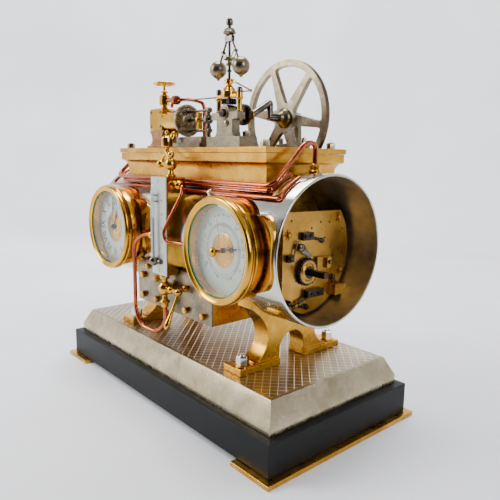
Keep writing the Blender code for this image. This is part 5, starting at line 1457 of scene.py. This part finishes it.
# %% Finish the kept nodes
for name, node in NODES.items():
    slot_name = next(s["material_slot"] for s in frame["record"]["subparts"] if s["node"] == name)
    for place in node.material_slots:
        place.material = FINISHES[slot_name]
print("kept nodes carry", len(FINISHES), "finishes")

# %% [markdown]
# ## Room, light and camera
# Polished metal shows what is around it, so the room matters as much as the lamps. A pale
# bowl-shaped sweep stands in for a studio tent; towards the camera its colour is painted darker
# and brown, a painted shade that the metals reflect. Large soft lamps give long highlights,
# and the darker zone low in the sky gives the gilding its depth.

# %% Room
def sweep():
    """A round floor that curves up into a wall all the way round."""
    floor_r, bend_r, wall = 1.15, 0.75, 1.1
    profile = [(0.001, 0.0), (0.4, 0.0), (floor_r, 0.0)]
    for k in range(1, 13):
        a = math.pi / 2 * k / 12
        profile.append((floor_r + bend_r * math.sin(a), bend_r * (1 - math.cos(a))))
    profile.append((floor_r + bend_r, bend_r + wall))
    steps = 96
    bm = bmesh.new()
    rings = [[bm.verts.new((r * math.cos(2 * math.pi * k / steps), r * math.sin(2 * math.pi * k / steps), z))
              for k in range(steps)] for r, z in profile]
    bm.faces.new(rings[0])
    for lower, upper in zip(rings, rings[1:]):
        for k in range(steps):
            j = (k + 1) % steps
            bm.faces.new((lower[k], lower[j], upper[j], upper[k]))
    mesh = bpy.data.meshes.new("paper_sweep")
    bm.to_mesh(mesh)
    bm.free()
    mesh.shade_smooth()
    obj = bpy.data.objects.new("paper_sweep", mesh)
    bpy.context.scene.collection.objects.link(obj)
    mat, tree, shader = new_finish("pale_paper_with_painted_shade")
    place = add(tree, "ShaderNodeTexCoord").outputs["Object"]
    cloud = add(tree, "ShaderNodeTexNoise", {"Vector": place, "Scale": 2.2, "Detail": 3.0})
    pale = ramp(tree, cloud.outputs["Fac"], [(0.35, "E4E5EA"), (0.7, "F2F3F6")])
    split = add(tree, "ShaderNodeSeparateXYZ", {"Vector": place})
    front = add(tree, "ShaderNodeMath", {0: split.outputs["X"], 1: split.outputs["Y"]}, operation="SUBTRACT")
    # Painted shade: the paper is painted darker and brown towards the camera side, standing in for the unlit
    # room there, so the metals reflect it.
    room = ramp(tree, add(tree, "ShaderNodeMapRange",
                          {"Value": front.outputs[0], "From Min": 0.55, "From Max": 1.7}
                          ).outputs["Result"], [(0.0, "FFFFFF"), (0.5, "8A7F78"), (1.0, "3A302A")])
    tint = add(tree, "ShaderNodeMix", {"Factor": 1.0, "A": pale, "B": room}, data_type="RGBA",
               blend_type="MULTIPLY")
    tree.links.new(tint.outputs["Result"], shader.inputs["Base Color"])
    shader.inputs["Roughness"].default_value = 0.9
    mesh.materials.append(mat)


def soft_lamp(name, place, aim, size, power, tint):
    data = bpy.data.lights.new(name, "AREA")
    data.shape, data.size, data.size_y, data.energy, data.color = "RECTANGLE", size[0], size[1], power, tint
    obj = bpy.data.objects.new(name, data)
    obj.location = place
    obj.rotation_euler = (Vector(aim) - Vector(place)).to_track_quat("-Z", "Y").to_euler()
    bpy.context.scene.collection.objects.link(obj)


def sky():
    world = bpy.data.worlds.new("tent")
    bpy.context.scene.world = world
    world.use_nodes = True
    tree = world.node_tree
    way = add(tree, "ShaderNodeTexCoord").outputs["Generated"]
    height = add(tree, "ShaderNodeSeparateXYZ", {"Vector": way}).outputs["Z"]
    colour = ramp(tree, height, [(0.0, "8C8C90"), (0.25, "E6E8EC"), (0.6, "FFFFFF"), (1.0, "F2F5FA")])
    tree.links.new(colour, tree.nodes["Background"].inputs["Color"])
    tree.nodes["Background"].inputs["Strength"].default_value = 0.62


sweep()
sky()
soft_lamp("left_window", (-0.9, -1.1, 0.9), (0.0, 0.0, 0.18), (0.5, 0.9), 20.0, (0.96, 0.98, 1.0))
soft_lamp("right_fill", (1.35, -0.1, 0.7), (0.0, 0.0, 0.18), (0.35, 0.8), 8.0, (1.0, 0.97, 0.93))
soft_lamp("top_panel", (-0.3, 0.3, 1.7), (0.0, 0.0, 0.2), (0.6, 0.9), 11.0, (1.0, 1.0, 1.0))
soft_lamp("wall_wash", (-0.2, 0.1, 1.6), (-1.4, 1.1, 0.7), (0.8, 0.8), 46.0, (0.98, 0.99, 1.0))
print("room ready")

# %% [markdown]
# The camera stands to the right of the dials, a little above the deck, with a normal lens.

# %% Camera
def stand_camera():
    data = bpy.data.cameras.new("camera")
    data.lens, data.sensor_width = 38.07, 36.0
    data.shift_x, data.shift_y = -0.0062, 0.0038
    data.clip_start = 0.01
    yaw, pitch, roll = math.radians(48.8), math.radians(-9.9), math.radians(0.9)
    forward = Vector((-math.sin(yaw) * math.cos(pitch), math.cos(yaw) * math.cos(pitch), math.sin(pitch)))
    right_way = Vector((math.cos(yaw), math.sin(yaw), 0.0))
    up = right_way.cross(forward)
    rolled_right = right_way * math.cos(roll) + up * math.sin(roll)
    rolled_up = up * math.cos(roll) - right_way * math.sin(roll)
    pose = Matrix.Identity(4)
    for row in range(3):
        pose[row][0], pose[row][1], pose[row][2] = rolled_right[row], rolled_up[row], -forward[row]
    pose.translation = Vector((0.4479, -0.3449, 0.2463))
    obj = bpy.data.objects.new("camera", data)
    obj.matrix_world = pose
    bpy.context.scene.collection.objects.link(obj)
    bpy.context.scene.camera = obj


stand_camera()
print("pieces made:", len(MADE))
